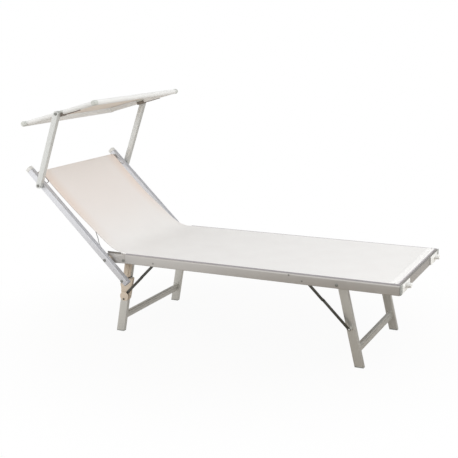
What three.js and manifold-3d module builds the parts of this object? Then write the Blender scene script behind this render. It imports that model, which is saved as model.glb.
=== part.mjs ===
import * as THREE from 'three';
import { mergeVertices } from 'three/addons/utils/BufferGeometryUtils.js';
import Module from 'manifold-3d';

const wasm = await Module();
wasm.setup();

// Sizes are in millimetres and angles in degrees
// Seat frame
const frameLength = 1258;
const frameWidth = 650;
const seatHeight = 389;
const railWidth = 25;
const railHeight = 44;
const railWall = 2;
const railCorner = 3;
const channelDrop = 4.5;
const channelHeight = 4;
const channelDepth = 9;

// Clearances between neighbouring pieces
const fit = 0.3;
const slideFit = 0.5;

// Sling fabric
const slingThickness = 3;
const slingTuck = 7.5;
const seatSlingLead = 25;
const backSlingWidth = 600;

// Foot end corner fittings with bumpers
const fittingReach = 145;
const fittingThickness = 4;
const fittingSpigot = 18;
const bumperRadius = 13;
const bumperLength = 23;
const bumperInset = 81;
const bumperDrop = 18;
const bumperEdge = 3;

// Hinge brackets and the backrest pivot
const pivotSetback = 87;
const pivotDrop = 29;
const bracketRadius = 20;
const bracketThickness = 17.5;
const bracketInset = 3.5;
const bracketFoot = 39;
const tongueLength = 60;
const washerRadius = 15;

// Backrest rails
const backAngle = 44;
const backRailWidth = 27.5;
const backRailHeight = 27;
const backRailCorner = 5;
const backRailGap = 6.5;
const backRailLift = 4;
const backRailAbove = 548;
const backRailBelow = 138;
const grooveWidth = 4;
const grooveDepth = 1;
const topCapLength = 18;
const bottomCapLength = 12;
const railCapSpigot = 10;
const headBarRadius = 11;
const headBarWall = 2;
const headBarInset = 28;
const sleeveWall = 1.8;

// Back sling line, as distance along the backrest and height above its pivot line
const slingMiddleReach = 250;
const slingMiddleRise = 21;
const slingLowReach = 120;
const slingLowRise = 28;
const slingBendReach = 45;
const slingBendRise = 37;
const slingEndReach = 2;
const slingEndRise = 52;
const slingSteps = 14;

// Latch pins at the lower ends of the backrest rails
const latchReach = 124;
const latchDrop = 3;
const latchRadius = 4;
const latchLegGap = 4;

// Bolts
const boltRadius = 4;
const boltHeadRadius = 7;
const boltHeadHeight = 3.2;
const boltHeadEdge = 1;
const nutRadius = 7.5;
const nutHeight = 4;

// Leg frames
const frontLegSetback = 258;
const rearLegLead = 10;
const legPivotDrop = 28;
const rearLegPivotDrop = 30;
const frontLegSplay = 13.1;
const rearLegSplay = -10.4;
const legWidth = 38;
const legThickness = 20;
const legWall = 2;
const legEdge = 4;
const legInset = 30;
const footHeight = 4;
const footSpigot = 14;
const spacerRadius = 9;
const crossTubeRadius = 12.5;
const crossTubeWall = 2;
const crossTubeDrop = 34;
const stretcherHeight = 34;
const stretcherWidth = 18;
const stretcherWall = 2;
const stretcherCorner = 6;
const stretcherRise = 72;

// Folding stays
const stayWidth = 12;
const stayThickness = 3;
const stayStudRadius = 3.5;
const stayCollarRadius = 7;
const lowerStayInset = 8.4;
const upperStayInset = 4.7;
const studTip = 0.3;
const frontStayRun = 150;
const rearStayRun = 155;
const stayPivotDrop = 29;
const frontStayReach = 199;
const rearStayReach = 193;
const frontFoldAngle = 98;
const rearFoldAngle = 86;
const kneeHeadRadius = 5;
const kneeHeadHeight = 1.8;

// Notched racks on the rear legs
const rackThickness = 15.7;
const rackEnd = 176;
const notchSpacing = 9;
const notchDepth = 4;
const notchClearance = 0.4;
const notchCount = 4;
const rackNose = 4.5;
const rackNoseDepth = 7;
const rackTail = 3.5;
const rackDepth = 16;
const notchSteps = 6;

// Canopy arms
const armInset = 88;
const armLength = 351;
const armLean = 19.8;
const armWidth = 25;
const armThickness = 21;
const armWall = 2;
const armEdge = 2;
const armGap = 2.5;

// Canopy panel
const canopySlope = 15.2;
const canopyHalfLength = 200;
const sideBarRadius = 9;
const sideBarWall = 1.5;
const sideBarInset = 14.5;
const crossBarRadius = 10;
const crossBarWall = 1.5;
const elbowRadius = 12;
const elbowBoss = 26;
const elbowLead = 16;
const elbowLength = 43;
const elbowEdge = 3;
const elbowSpigot = 14;
const clampLength = 50;
const clampHeight = 30;
const clampLip = 13;
const clampEdge = 3;
const clothThickness = 2;

// Facets round a full circle
const roundSides = 20;
const holeSides = 12;
const cornerSides = 2;

// Heights and places that follow from the sizes above
const halfWidth = frameWidth / 2;
const railInner = halfWidth - railWidth;
const railBottom = seatHeight - railHeight;
const channelTop = seatHeight - channelDrop;
const channelBottom = channelTop - channelHeight;
const hollowTop = channelBottom - railWall;
const slingTop = channelTop - slideFit;
const pivot = new THREE.Vector3(-pivotSetback, 0, seatHeight - pivotDrop);
const frontLegPivot = new THREE.Vector3(frameLength - frontLegSetback, 0, seatHeight - legPivotDrop);
const rearLegPivot = new THREE.Vector3(-rearLegLead, 0, seatHeight - rearLegPivotDrop);
const stayPivotHeight = seatHeight - stayPivotDrop;
const bracketOuter = halfWidth - bracketInset;
const bracketInner = bracketOuter - bracketThickness;
const backRailInner = halfWidth + backRailGap;
const backRailOuter = backRailInner + backRailWidth;
const armReach = backRailAbove - armInset;
const armInner = backRailOuter + armGap;
const armOuter = armInner + armThickness;
const headBarReach = backRailAbove - headBarInset;
const legOuter = railInner - legInset;
const legInner = legOuter - legThickness;
const latchInner = legOuter + latchLegGap;
const lowerStayOuter = railInner - lowerStayInset;
const lowerStayInner = lowerStayOuter - stayThickness;
const upperStayOuter = railInner - upperStayInset;
const upperStayInner = upperStayOuter - stayThickness;
const sideBarOffset = armInner - sideBarInset;
const elbowInner = sideBarOffset - elbowLead;
const elbowOuter = elbowInner + elbowLength;
const clampInner = sideBarOffset - clampLip;

const silver = new THREE.MeshStandardMaterial({ color: 0xc9cac6, roughness: 0.42, metalness: 0.9 });
const paleSilver = new THREE.MeshStandardMaterial({ color: 0xdcdedb, roughness: 0.45, metalness: 0.8 });
const darkSteel = new THREE.MeshStandardMaterial({ color: 0x474744, roughness: 0.5, metalness: 0.8 });
const zincSteel = new THREE.MeshStandardMaterial({ color: 0x8d8d88, roughness: 0.4, metalness: 0.9 });
const greyPlastic = new THREE.MeshStandardMaterial({ color: 0x8f9290, roughness: 0.6, metalness: 0 });
const whitePlastic = new THREE.MeshStandardMaterial({ color: 0xf0f0ec, roughness: 0.5, metalness: 0 });
const tanNylon = new THREE.MeshStandardMaterial({ color: 0xcbb6a2, roughness: 0.6, metalness: 0 });
const darkPlastic = new THREE.MeshStandardMaterial({ color: 0x77797a, roughness: 0.6, metalness: 0 });
const slingFabric = new THREE.MeshStandardMaterial({ color: 0xe9e6e2, roughness: 0.85, metalness: 0 });
const canopyCloth = new THREE.MeshStandardMaterial({ color: 0xe7e2da, roughness: 0.9, metalness: 0 });

// Turns a closed geometry into a solid that can be joined and cut
function toSolid(geometry) {
  const plain = new THREE.BufferGeometry();
  plain.setAttribute('position', geometry.getAttribute('position'));
  if (geometry.index) {
    plain.setIndex(geometry.index);
  }
  const merged = mergeVertices(plain);
  const vertProperties = new Float32Array(merged.getAttribute('position').array);
  const triVerts = new Uint32Array(merged.index.array);
  return new wasm.Manifold(new wasm.Mesh({ numProp: 3, vertProperties, triVerts }));
}

function fromSolid(solid) {
  const mesh = solid.getMesh();
  const geometry = new THREE.BufferGeometry();
  geometry.setAttribute('position', new THREE.BufferAttribute(new Float32Array(mesh.vertProperties), 3));
  geometry.setIndex(Array.from(mesh.triVerts));
  geometry.computeVertexNormals();
  return geometry;
}

function joined(...geometries) {
  return fromSolid(geometries.map(toSolid).reduce((whole, next) => whole.add(next)));
}

function cut(geometry, ...tools) {
  return fromSolid(tools.map(toSolid).reduce((whole, tool) => whole.subtract(tool), toSolid(geometry)));
}

function mirrored(geometry) {
  const copy = geometry.index ? geometry.toNonIndexed() : geometry.clone();
  copy.scale(1, -1, 1);
  const position = copy.getAttribute('position');
  const corner = new THREE.Vector3();
  const other = new THREE.Vector3();
  for (let index = 0; index < position.count; index += 3) {
    corner.fromBufferAttribute(position, index + 1);
    other.fromBufferAttribute(position, index + 2);
    position.setXYZ(index + 1, other.x, other.y, other.z);
    position.setXYZ(index + 2, corner.x, corner.y, corner.z);
  }
  copy.computeVertexNormals();
  return copy;
}

// Rod along Y between two heights of Y, at a place in X and Z
function rod(radius, from, to, x = 0, z = 0, sides = roundSides) {
  const geometry = new THREE.CylinderGeometry(radius, radius, to - from, sides);
  geometry.translate(x, (from + to) / 2, z);
  return geometry;
}

function rodAlongX(radius, from, to, y = 0, z = 0, sides = roundSides) {
  const geometry = new THREE.CylinderGeometry(radius, radius, to - from, sides);
  geometry.rotateZ(-Math.PI / 2);
  geometry.translate((from + to) / 2, y, z);
  return geometry;
}

// Round piece turned about an axis along Y, from radius and Y pairs
function turned(profile, x = 0, z = 0) {
  const points = profile.map(([radius, y]) => new THREE.Vector2(radius, y));
  const geometry = new THREE.LatheGeometry(points, roundSides);
  geometry.translate(x, 0, z);
  return geometry;
}

function pipe(outerRadius, wall, from, to, x = 0, z = 0) {
  return cut(
    rod(outerRadius, from, to, x, z),
    rod(outerRadius - wall, from - fit, to + fit, x, z),
  );
}

function roundedShape(left, bottom, right, top, radius) {
  const shape = new THREE.Shape();
  shape.moveTo(left + radius, bottom);
  shape.lineTo(right - radius, bottom);
  shape.absarc(right - radius, bottom + radius, radius, -Math.PI / 2, 0, false);
  shape.lineTo(right, top - radius);
  shape.absarc(right - radius, top - radius, radius, 0, Math.PI / 2, false);
  shape.lineTo(left + radius, top);
  shape.absarc(left + radius, top - radius, radius, Math.PI / 2, Math.PI, false);
  shape.lineTo(left, bottom + radius);
  shape.absarc(left + radius, bottom + radius, radius, Math.PI, Math.PI * 1.5, false);
  return shape;
}

// Shape drawn in Y and Z, drawn out along X
function alongX(shape, from, to) {
  const geometry = new THREE.ExtrudeGeometry(shape, {
    depth: to - from,
    bevelEnabled: false,
    curveSegments: cornerSides,
  });
  const axes = new THREE.Matrix4().makeBasis(
    new THREE.Vector3(0, 1, 0),
    new THREE.Vector3(0, 0, 1),
    new THREE.Vector3(1, 0, 0),
  );
  geometry.applyMatrix4(axes);
  geometry.translate(from, 0, 0);
  return geometry;
}

// Shape drawn in X and Z, drawn out along Y with rounded edges
function alongY(shape, from, to, edge = 0, sides = cornerSides) {
  const geometry = new THREE.ExtrudeGeometry(shape, {
    depth: to - from - 2 * edge,
    bevelEnabled: edge > 0,
    bevelThickness: edge,
    bevelSize: edge,
    bevelOffset: -edge,
    bevelSegments: 2,
    curveSegments: sides,
  });
  geometry.rotateX(Math.PI / 2);
  geometry.translate(0, to - edge, 0);
  return geometry;
}

function place(parent, name, geometry, material) {
  const mesh = new THREE.Mesh(geometry, material.clone());
  mesh.name = name;
  parent.add(mesh);
  return mesh;
}

function placePair(parent, name, geometry, material) {
  place(parent, `${name}_far`, geometry, material);
  place(parent, `${name}_near`, mirrored(geometry), material);
}

// Bolt along Y with a rounded head outside and a nut or plain end inside
function bolt(inner, outer, radius, x = 0, z = 0) {
  return turned([
    [0, inner],
    [radius, inner],
    [radius, outer],
    [boltHeadRadius, outer],
    [boltHeadRadius, outer + boltHeadHeight - boltHeadEdge],
    [boltHeadRadius - boltHeadEdge, outer + boltHeadHeight],
    [0, outer + boltHeadHeight],
  ], x, z);
}

// Rail section with a channel for the fabric edge on the inner face
function railShape() {
  const shape = new THREE.Shape();
  shape.moveTo(railInner, railBottom);
  shape.lineTo(halfWidth - railCorner, railBottom);
  shape.absarc(halfWidth - railCorner, railBottom + railCorner, railCorner, -Math.PI / 2, 0, false);
  shape.lineTo(halfWidth, seatHeight - railCorner);
  shape.absarc(halfWidth - railCorner, seatHeight - railCorner, railCorner, 0, Math.PI / 2, false);
  shape.lineTo(railInner, seatHeight);
  shape.lineTo(railInner, channelTop);
  shape.lineTo(railInner + channelDepth, channelTop);
  shape.lineTo(railInner + channelDepth, channelBottom);
  shape.lineTo(railInner, channelBottom);
  shape.closePath();
  shape.holes.push(roundedShape(
    railInner + railWall,
    railBottom + railWall,
    halfWidth - railWall,
    hollowTop,
    railWall,
  ));
  return shape;
}

function sideRail() {
  const length = alongX(railShape(), 0, frameLength);
  const studs = [frontLegPivot.x - frontStayRun, rearLegPivot.x + rearStayRun].map((x) => joined(
    rod(stayCollarRadius, upperStayOuter + fit, railInner + railWall / 2, x, stayPivotHeight),
    rod(stayStudRadius, upperStayInner - studTip, upperStayOuter + slideFit, x, stayPivotHeight),
  ));
  const whole = joined(length, ...studs);
  const hole = rod(boltRadius + fit, railInner - fit, halfWidth + fit, frontLegPivot.x, frontLegPivot.z);
  return cut(whole, hole);
}

function footCrossbar() {
  const geometry = alongX(railShape(), fit - railInner, railInner - fit);
  geometry.rotateZ(-Math.PI / 2);
  geometry.translate(frameLength - halfWidth, 0, 0);
  return geometry;
}

function cornerFitting() {
  const start = frameLength + fit;
  const plate = alongX(
    roundedShape(halfWidth - fittingReach, railBottom, halfWidth, seatHeight, railCorner),
    start,
    start + fittingThickness,
  );
  const spigot = alongX(
    roundedShape(
      railInner + railWall + slideFit,
      railBottom + railWall + slideFit,
      halfWidth - railWall - slideFit,
      hollowTop - slideFit,
      railWall,
    ),
    frameLength - fittingSpigot,
    start + fittingThickness / 2,
  );
  const bumper = turned([
    [0, start + fittingThickness / 2],
    [bumperRadius, start + fittingThickness / 2],
    [bumperRadius, start + fittingThickness + bumperLength - bumperEdge],
    [bumperRadius - bumperEdge, start + fittingThickness + bumperLength],
    [0, start + fittingThickness + bumperLength],
  ]);
  bumper.rotateZ(-Math.PI / 2);
  bumper.translate(0, halfWidth - bumperInset, seatHeight - bumperDrop);
  return joined(plate, spigot, bumper);
}

function hingeBracket() {
  const tongueTop = hollowTop - slideFit;
  const tongueBottom = railBottom + railWall + slideFit;
  const shape = new THREE.Shape();
  shape.moveTo(-slideFit, seatHeight - bracketFoot);
  shape.lineTo(-slideFit, tongueBottom);
  shape.lineTo(tongueLength, tongueBottom);
  shape.lineTo(tongueLength, tongueTop);
  shape.lineTo(-slideFit, tongueTop);
  shape.lineTo(-slideFit, pivot.z + bracketRadius);
  shape.lineTo(pivot.x, pivot.z + bracketRadius);
  shape.absarc(pivot.x, pivot.z, bracketRadius, Math.PI / 2, Math.PI * 1.5, false);
  shape.closePath();
  const plate = alongY(shape, bracketInner, bracketOuter, 0, roundSides / 4);
  const washer = rod(washerRadius, bracketOuter - slideFit, backRailInner - fit, pivot.x, pivot.z);
  const boss = rod(spacerRadius, legOuter + fit, bracketInner + slideFit, rearLegPivot.x, rearLegPivot.z);
  const whole = joined(plate, washer, boss);
  const hole = boltRadius + fit;
  return cut(
    whole,
    rod(hole, bracketInner - fit, backRailInner, pivot.x, pivot.z, holeSides),
    rod(hole, legOuter, bracketOuter + fit, rearLegPivot.x, rearLegPivot.z, holeSides),
  );
}

function frontLegBolt() {
  const { x, z } = frontLegPivot;
  const spacer = rod(spacerRadius, legOuter + fit, railInner - fit, x, z);
  const shank = bolt(legInner - nutHeight, halfWidth + fit, boltRadius, x, z);
  const nut = rod(nutRadius, legInner - nutHeight, legInner - fit, x, z, holeSides);
  return joined(shank, spacer, nut);
}

function rearLegBolt() {
  const { x, z } = rearLegPivot;
  const shank = bolt(legInner - nutHeight, bracketOuter + fit, boltRadius, x, z);
  const nut = rod(nutRadius, legInner - nutHeight, legInner - fit, x, z, holeSides);
  return joined(shank, nut);
}

function seatSling() {
  const reach = railInner + slingTuck;
  const end = frameLength - railWidth + slingTuck;
  return alongX(
    roundedShape(-reach, slingTop - slingThickness, reach, slingTop, slingThickness / 3),
    -seatSlingLead,
    end,
  );
}

function buildFrame(parent) {
  placePair(parent, 'side_rail', sideRail(), silver);
  place(parent, 'foot_crossbar', footCrossbar(), silver);
  placePair(parent, 'corner_fitting', cornerFitting(), whitePlastic);
  placePair(parent, 'hinge_bracket', hingeBracket(), darkPlastic);
  placePair(parent, 'front_leg_bolt', frontLegBolt(), zincSteel);
  placePair(parent, 'rear_leg_bolt', rearLegBolt(), zincSteel);
  place(parent, 'seat_sling', seatSling(), slingFabric);
}

// Leg seen from the side: round at the pivot and cut level with the floor
function legShape(splay, drop, half, extra) {
  const lean = THREE.MathUtils.degToRad(splay);
  const lengthAt = (x) => (drop + extra) / Math.cos(lean) + x * Math.tan(lean);
  const shape = new THREE.Shape();
  shape.moveTo(half, -lengthAt(half));
  shape.lineTo(half, 0);
  shape.absarc(0, 0, half, 0, Math.PI, false);
  shape.lineTo(-half, -lengthAt(-half));
  shape.closePath();
  return shape;
}

function legFrame(splay, pivotHeight, reach) {
  const drop = pivotHeight - footHeight - fit;
  const half = legWidth / 2;
  const tube = alongY(legShape(splay, drop, half, 0), legInner, legOuter, legEdge);
  const hollow = alongY(
    legShape(splay, drop, half - legWall, legWidth),
    legInner + legWall,
    legOuter - legWall,
    legEdge - legWall,
  );
  const stud = joined(
    rod(stayCollarRadius, legOuter - legWall / 2, lowerStayInner - fit, 0, -reach),
    rod(stayStudRadius, legOuter, lowerStayOuter + studTip, 0, -reach),
  );
  const leg = joined(cut(tube, hollow), stud);
  const bored = cut(leg, rod(boltRadius + fit, legInner - fit, legOuter + fit, 0, 0));
  const tubeEnd = legInner + legWall / 2;
  const crossTube = rod(crossTubeRadius, -tubeEnd, tubeEnd, 0, -crossTubeDrop);
  const boreEnd = legInner + legThickness / 2;
  const bore = rod(crossTubeRadius - crossTubeWall, -boreEnd, boreEnd, 0, -crossTubeDrop);
  return cut(joined(bored, mirrored(bored), crossTube), bore);
}

function foot(splay, pivotHeight) {
  const lean = THREE.MathUtils.degToRad(splay);
  const lengthTo = (height, x) => (pivotHeight - height) / Math.cos(lean) + x * Math.tan(lean);
  const half = legWidth / 2;
  const inner = half - legWall - slideFit;
  const pad = new THREE.Shape();
  pad.moveTo(-half, -lengthTo(0, -half));
  pad.lineTo(half, -lengthTo(0, half));
  pad.lineTo(half, -lengthTo(footHeight, half));
  pad.lineTo(-half, -lengthTo(footHeight, -half));
  pad.closePath();
  const plug = new THREE.Shape();
  plug.moveTo(-inner, -lengthTo(footHeight / 2, -inner));
  plug.lineTo(inner, -lengthTo(footHeight / 2, inner));
  plug.lineTo(inner, -lengthTo(footHeight + footSpigot, inner));
  plug.lineTo(-inner, -lengthTo(footHeight + footSpigot, -inner));
  plug.closePath();
  return joined(
    alongY(pad, legInner, legOuter),
    alongY(plug, legInner + legEdge, legOuter - legEdge),
  );
}

function stretcher(splay, pivotHeight) {
  const lean = THREE.MathUtils.degToRad(splay);
  const down = (pivotHeight - stretcherRise) / Math.cos(lean);
  const halfHeight = stretcherHeight / 2;
  const halfDepth = stretcherWidth / 2;
  const bottom = -down - halfHeight;
  const top = -down + halfHeight;
  const shape = roundedShape(-halfDepth, bottom, halfDepth, top, stretcherCorner);
  shape.holes.push(roundedShape(
    stretcherWall - halfDepth,
    bottom + stretcherWall,
    halfDepth - stretcherWall,
    top - stretcherWall,
    stretcherCorner - stretcherWall,
  ));
  return alongY(shape, fit - legInner, legInner - fit);
}

// Flat link from the origin to a knee straight down, with the knee head on one of the two links
function stayLink(length, inner, outer, withHead) {
  const half = stayWidth / 2;
  const shape = new THREE.Shape();
  shape.moveTo(half, -length);
  shape.lineTo(half, 0);
  shape.absarc(0, 0, half, 0, Math.PI, false);
  shape.lineTo(-half, -length);
  shape.absarc(0, -length, half, Math.PI, Math.PI * 2, false);
  const plate = alongY(shape, inner, outer, 0, roundSides / 4);
  const bored = cut(plate, rod(stayStudRadius + fit, inner - fit, outer + fit, 0, 0, holeSides));
  if (withHead) {
    return joined(bored, rod(kneeHeadRadius, outer - fit, outer + kneeHeadHeight, 0, -length, holeSides));
  }
  return bored;
}

// Lengths and angles of a two-link stay that folds up under the rail
function stayLayout(legPivot, splay, reach, run, foldAngle) {
  const toFoot = Math.sign(run);
  const lean = THREE.MathUtils.degToRad(splay);
  const folded = lean + toFoot * THREE.MathUtils.degToRad(foldAngle);
  const upper = new THREE.Vector2(legPivot.x + run, stayPivotHeight);
  const lowerAt = (angle) => new THREE.Vector2(
    legPivot.x + reach * Math.sin(angle),
    legPivot.z - reach * Math.cos(angle),
  );
  const open = lowerAt(lean).distanceTo(upper);
  const closed = lowerAt(folded);
  const along = (closed.x - upper.x) * toFoot;
  const apart = closed.y - upper.y;
  const upperLength = (open * open - along * along - apart * apart) / (2 * (open + along));
  const lowerLength = open - upperLength;
  const lower = lowerAt(lean);
  const direction = Math.atan2(lower.x - upper.x, upper.y - lower.y);
  return { upper, lower, upperLength, lowerLength, direction, lean };
}

function buildStays(parent, legGroup, name, layout) {
  const upperGroup = new THREE.Group();
  upperGroup.position.set(layout.upper.x, 0, layout.upper.y);
  upperGroup.rotation.y = -layout.direction;
  parent.add(upperGroup);
  const upperLink = stayLink(layout.upperLength, upperStayInner, upperStayOuter, true);
  placePair(upperGroup, `${name}_stay_upper`, upperLink, darkSteel);
  const lowerGroup = new THREE.Group();
  lowerGroup.position.set(0, 0, -layout.reach);
  lowerGroup.rotation.y = -layout.direction + layout.lean + Math.PI;
  legGroup.add(lowerGroup);
  const lowerLink = stayLink(layout.lowerLength, lowerStayInner, lowerStayOuter, false);
  placePair(lowerGroup, `${name}_stay_lower`, lowerLink, darkSteel);
}

function buildLegs(parent, name, legPivot, splay, reach, run, foldAngle) {
  const group = new THREE.Group();
  group.position.copy(legPivot);
  group.rotation.y = -THREE.MathUtils.degToRad(splay);
  parent.add(group);
  place(group, `${name}_leg_frame`, legFrame(splay, legPivot.z, reach), silver);
  placePair(group, `${name}_foot`, foot(splay, legPivot.z), greyPlastic);
  place(group, `${name}_stretcher`, stretcher(splay, legPivot.z), silver);
  const layout = stayLayout(legPivot, splay, reach, run, foldAngle);
  buildStays(parent, group, name, { ...layout, reach });
  return group;
}

// Rack with a row of notches concentric with the backrest pivot
function rack() {
  const lean = THREE.MathUtils.degToRad(rearLegSplay);
  const offset = pivot.clone().sub(rearLegPivot);
  const centre = offset.applyAxisAngle(new THREE.Vector3(0, 1, 0), lean);
  const restAngle = -THREE.MathUtils.degToRad(backAngle) - Math.asin(latchDrop / latchReach);
  const localRest = restAngle - lean;
  const spacing = THREE.MathUtils.degToRad(notchSpacing);
  const noseAngle = localRest + THREE.MathUtils.degToRad(rackNose);
  const tailAngle = localRest - spacing * (notchCount - 1) - THREE.MathUtils.degToRad(rackTail);
  const near = latchReach + latchRadius + notchClearance;
  const at = (angle, radius) => new THREE.Vector2(
    centre.x + radius * Math.cos(angle),
    centre.z + radius * Math.sin(angle),
  );
  const points = [];
  const steps = notchSteps * notchCount;
  for (let step = 0; step <= steps; step += 1) {
    const angle = noseAngle + (tailAngle - noseAngle) * step / steps;
    const wave = (1 + Math.cos((angle - localRest) * Math.PI * 2 / spacing)) / 2;
    points.push(at(angle, near + notchDepth * wave));
  }
  points.push(at(tailAngle, near + rackDepth));
  points.push(new THREE.Vector2(-legWidth / 2, -rackEnd + legWidth / 2));
  points.push(new THREE.Vector2(-legWidth / 3, -rackEnd));
  points.push(new THREE.Vector2(legWidth / 3, -rackEnd));
  points.push(new THREE.Vector2(legWidth / 2, -rackEnd + legWidth / 2));
  points.push(at(noseAngle, near + rackNoseDepth));
  return alongY(new THREE.Shape(points), legOuter + fit, legOuter + fit + rackThickness, slideFit);
}

function backRailShape() {
  const left = backRailInner;
  const right = backRailOuter;
  const bottom = backRailLift - backRailHeight / 2;
  const top = backRailLift + backRailHeight / 2;
  const middle = (left + right) / 2;
  const radius = backRailCorner;
  const shape = new THREE.Shape();
  shape.moveTo(left + radius, bottom);
  shape.lineTo(right - radius, bottom);
  shape.absarc(right - radius, bottom + radius, radius, -Math.PI / 2, 0, false);
  shape.lineTo(right, top - radius);
  shape.absarc(right - radius, top - radius, radius, 0, Math.PI / 2, false);
  shape.lineTo(middle + grooveWidth / 2, top);
  shape.lineTo(middle + grooveWidth / 2, top - grooveDepth);
  shape.lineTo(middle - grooveWidth / 2, top - grooveDepth);
  shape.lineTo(middle - grooveWidth / 2, top);
  shape.lineTo(left + radius, top);
  shape.absarc(left + radius, top - radius, radius, Math.PI / 2, Math.PI, false);
  shape.lineTo(left, bottom + radius);
  shape.absarc(left + radius, bottom + radius, radius, Math.PI, Math.PI * 1.5, false);
  shape.holes.push(roundedShape(
    left + railWall,
    bottom + railWall,
    right - railWall,
    top - railWall - grooveDepth,
    backRailCorner - railWall,
  ));
  return shape;
}

function backRail() {
  const rail = alongX(backRailShape(), -backRailAbove, backRailBelow);
  const hole = (x, z) => rod(boltRadius + fit, backRailInner - fit, backRailOuter + fit, x, z, holeSides);
  return cut(
    rail,
    hole(0, 0),
    hole(latchReach, -latchDrop),
    hole(-armReach, backRailLift),
  );
}

// Rounded plug for the end of a backrest rail, with a spigot inside it
function railCap(start, length) {
  const toward = Math.sign(length);
  const face = start + toward * fit;
  const half = backRailHeight / 2;
  const shape = new THREE.Shape();
  shape.moveTo(face, backRailLift - half);
  shape.absellipse(face, backRailLift, Math.abs(length), half, -Math.PI / 2, Math.PI / 2, toward < 0, 0);
  shape.closePath();
  const dome = alongY(shape, backRailInner, backRailOuter, railWall, roundSides / 4);
  const inner = half - railWall - slideFit;
  const ends = [face + toward * railWall, start - toward * railCapSpigot].sort((a, b) => a - b);
  const spigot = alongX(
    roundedShape(
      backRailInner + railWall + slideFit,
      backRailLift - inner,
      backRailOuter - railWall - slideFit,
      backRailLift + inner - grooveDepth,
      backRailCorner - railWall,
    ),
    ends[0],
    ends[1],
  );
  return joined(dome, spigot);
}

function latchPin() {
  return bolt(latchInner, backRailOuter + fit, latchRadius, latchReach, -latchDrop);
}

function backSling() {
  const half = backSlingWidth / 2;
  const headBarTop = backRailLift + headBarRadius + fit;
  const curve = new THREE.SplineCurve([
    new THREE.Vector2(headBarReach, headBarTop + slingThickness / 2),
    new THREE.Vector2(slingMiddleReach, slingMiddleRise),
    new THREE.Vector2(slingLowReach, slingLowRise),
    new THREE.Vector2(slingBendReach, slingBendRise),
    new THREE.Vector2(slingEndReach, slingEndRise),
  ]);
  const line = curve.getPoints(slingSteps);
  const shape = new THREE.Shape();
  const front = line.map((point) => new THREE.Vector2(-point.x, point.y + slingThickness / 2));
  const rear = line.map((point) => new THREE.Vector2(-point.x, point.y - slingThickness / 2)).reverse();
  shape.setFromPoints([...front, ...rear]);
  const sheet = alongY(shape, -half, half);
  const outer = headBarRadius + fit + sleeveWall;
  const sleeve = pipe(outer, sleeveWall, -half, half, -headBarReach, backRailLift);
  return joined(sheet, sleeve);
}

function buildBackrest(parent) {
  const group = new THREE.Group();
  group.position.copy(pivot);
  group.rotation.y = THREE.MathUtils.degToRad(backAngle);
  parent.add(group);
  placePair(group, 'backrest_rail', backRail(), silver);
  placePair(group, 'backrest_top_cap', railCap(-backRailAbove, -topCapLength), whitePlastic);
  placePair(group, 'backrest_bottom_cap', railCap(backRailBelow, bottomCapLength), greyPlastic);
  const reach = backRailInner - fit;
  const headBar = pipe(headBarRadius, headBarWall, -reach, reach, -headBarReach, backRailLift);
  place(group, 'head_crossbar', headBar, silver);
  placePair(group, 'latch_pin', latchPin(), zincSteel);
  placePair(group, 'backrest_pivot_bolt', bolt(bracketInner, backRailOuter + fit, boltRadius), zincSteel);
  place(group, 'back_sling', backSling(), slingFabric);
  return group;
}

function canopyArm() {
  const shapeWith = (half) => {
    const shape = new THREE.Shape();
    shape.moveTo(half, 0);
    shape.lineTo(half, armLength);
    shape.absarc(0, armLength, half, 0, Math.PI, false);
    shape.lineTo(-half, 0);
    shape.absarc(0, 0, half, Math.PI, Math.PI * 2, false);
    return shape;
  };
  const tube = alongY(shapeWith(armWidth / 2), armInner, armOuter, armEdge, roundSides / 4);
  const hollow = alongY(
    shapeWith(armWidth / 2 - armWall),
    armInner + armWall,
    armOuter - armWall,
    0,
    roundSides / 4,
  );
  return cut(
    tube,
    hollow,
    rod(boltRadius + fit, armInner - fit, armOuter + fit, 0, 0, holeSides),
    rod(boltRadius + fit, armInner - fit, armOuter + fit, 0, armLength, holeSides),
  );
}

function armLowerBolt() {
  const shank = bolt(backRailInner - nutHeight - fit, armOuter + fit, boltRadius);
  const nut = rod(nutRadius, backRailInner - nutHeight - fit, backRailInner - fit, 0, 0, holeSides);
  return joined(shank, nut);
}

function armUpperBolt() {
  return bolt(sideBarOffset + sideBarRadius + slideFit, armOuter + fit, boltRadius, 0, armLength);
}

function buildArms(parent) {
  const group = new THREE.Group();
  group.position.set(-armReach, 0, backRailLift);
  group.rotation.y = THREE.MathUtils.degToRad(armLean - backAngle);
  parent.add(group);
  placePair(group, 'canopy_arm', canopyArm(), paleSilver);
  placePair(group, 'arm_lower_bolt', armLowerBolt(), zincSteel);
  placePair(group, 'arm_upper_bolt', armUpperBolt(), zincSteel);
  return group;
}

function cornerElbow(end) {
  const x = end * canopyHalfLength;
  const body = turned([
    [0, elbowInner],
    [elbowRadius, elbowInner],
    [elbowRadius, elbowOuter - elbowEdge],
    [elbowRadius - elbowEdge, elbowOuter],
    [0, elbowOuter],
  ], x);
  const spigotRadius = crossBarRadius - crossBarWall - slideFit;
  const spigot = rod(spigotRadius, elbowInner - elbowSpigot, elbowInner + slideFit, x);
  const boss = rodAlongX(elbowRadius - slideFit, 0, elbowBoss, sideBarOffset);
  const barSpigotRadius = sideBarRadius - sideBarWall - slideFit;
  const barSpigot = rodAlongX(
    barSpigotRadius,
    elbowBoss - slideFit,
    elbowBoss + elbowSpigot,
    sideBarOffset,
  );
  const arm = joined(boss, barSpigot);
  if (end > 0) {
    arm.rotateZ(Math.PI);
    arm.translate(0, 2 * sideBarOffset, 0);
  }
  arm.translate(x, 0, 0);
  return joined(body, spigot, arm);
}

function sideBar() {
  const reach = canopyHalfLength - elbowBoss - fit;
  return cut(
    rodAlongX(sideBarRadius, -reach, reach, sideBarOffset),
    rodAlongX(sideBarRadius - sideBarWall, -reach - fit, reach + fit, sideBarOffset),
  );
}

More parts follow.
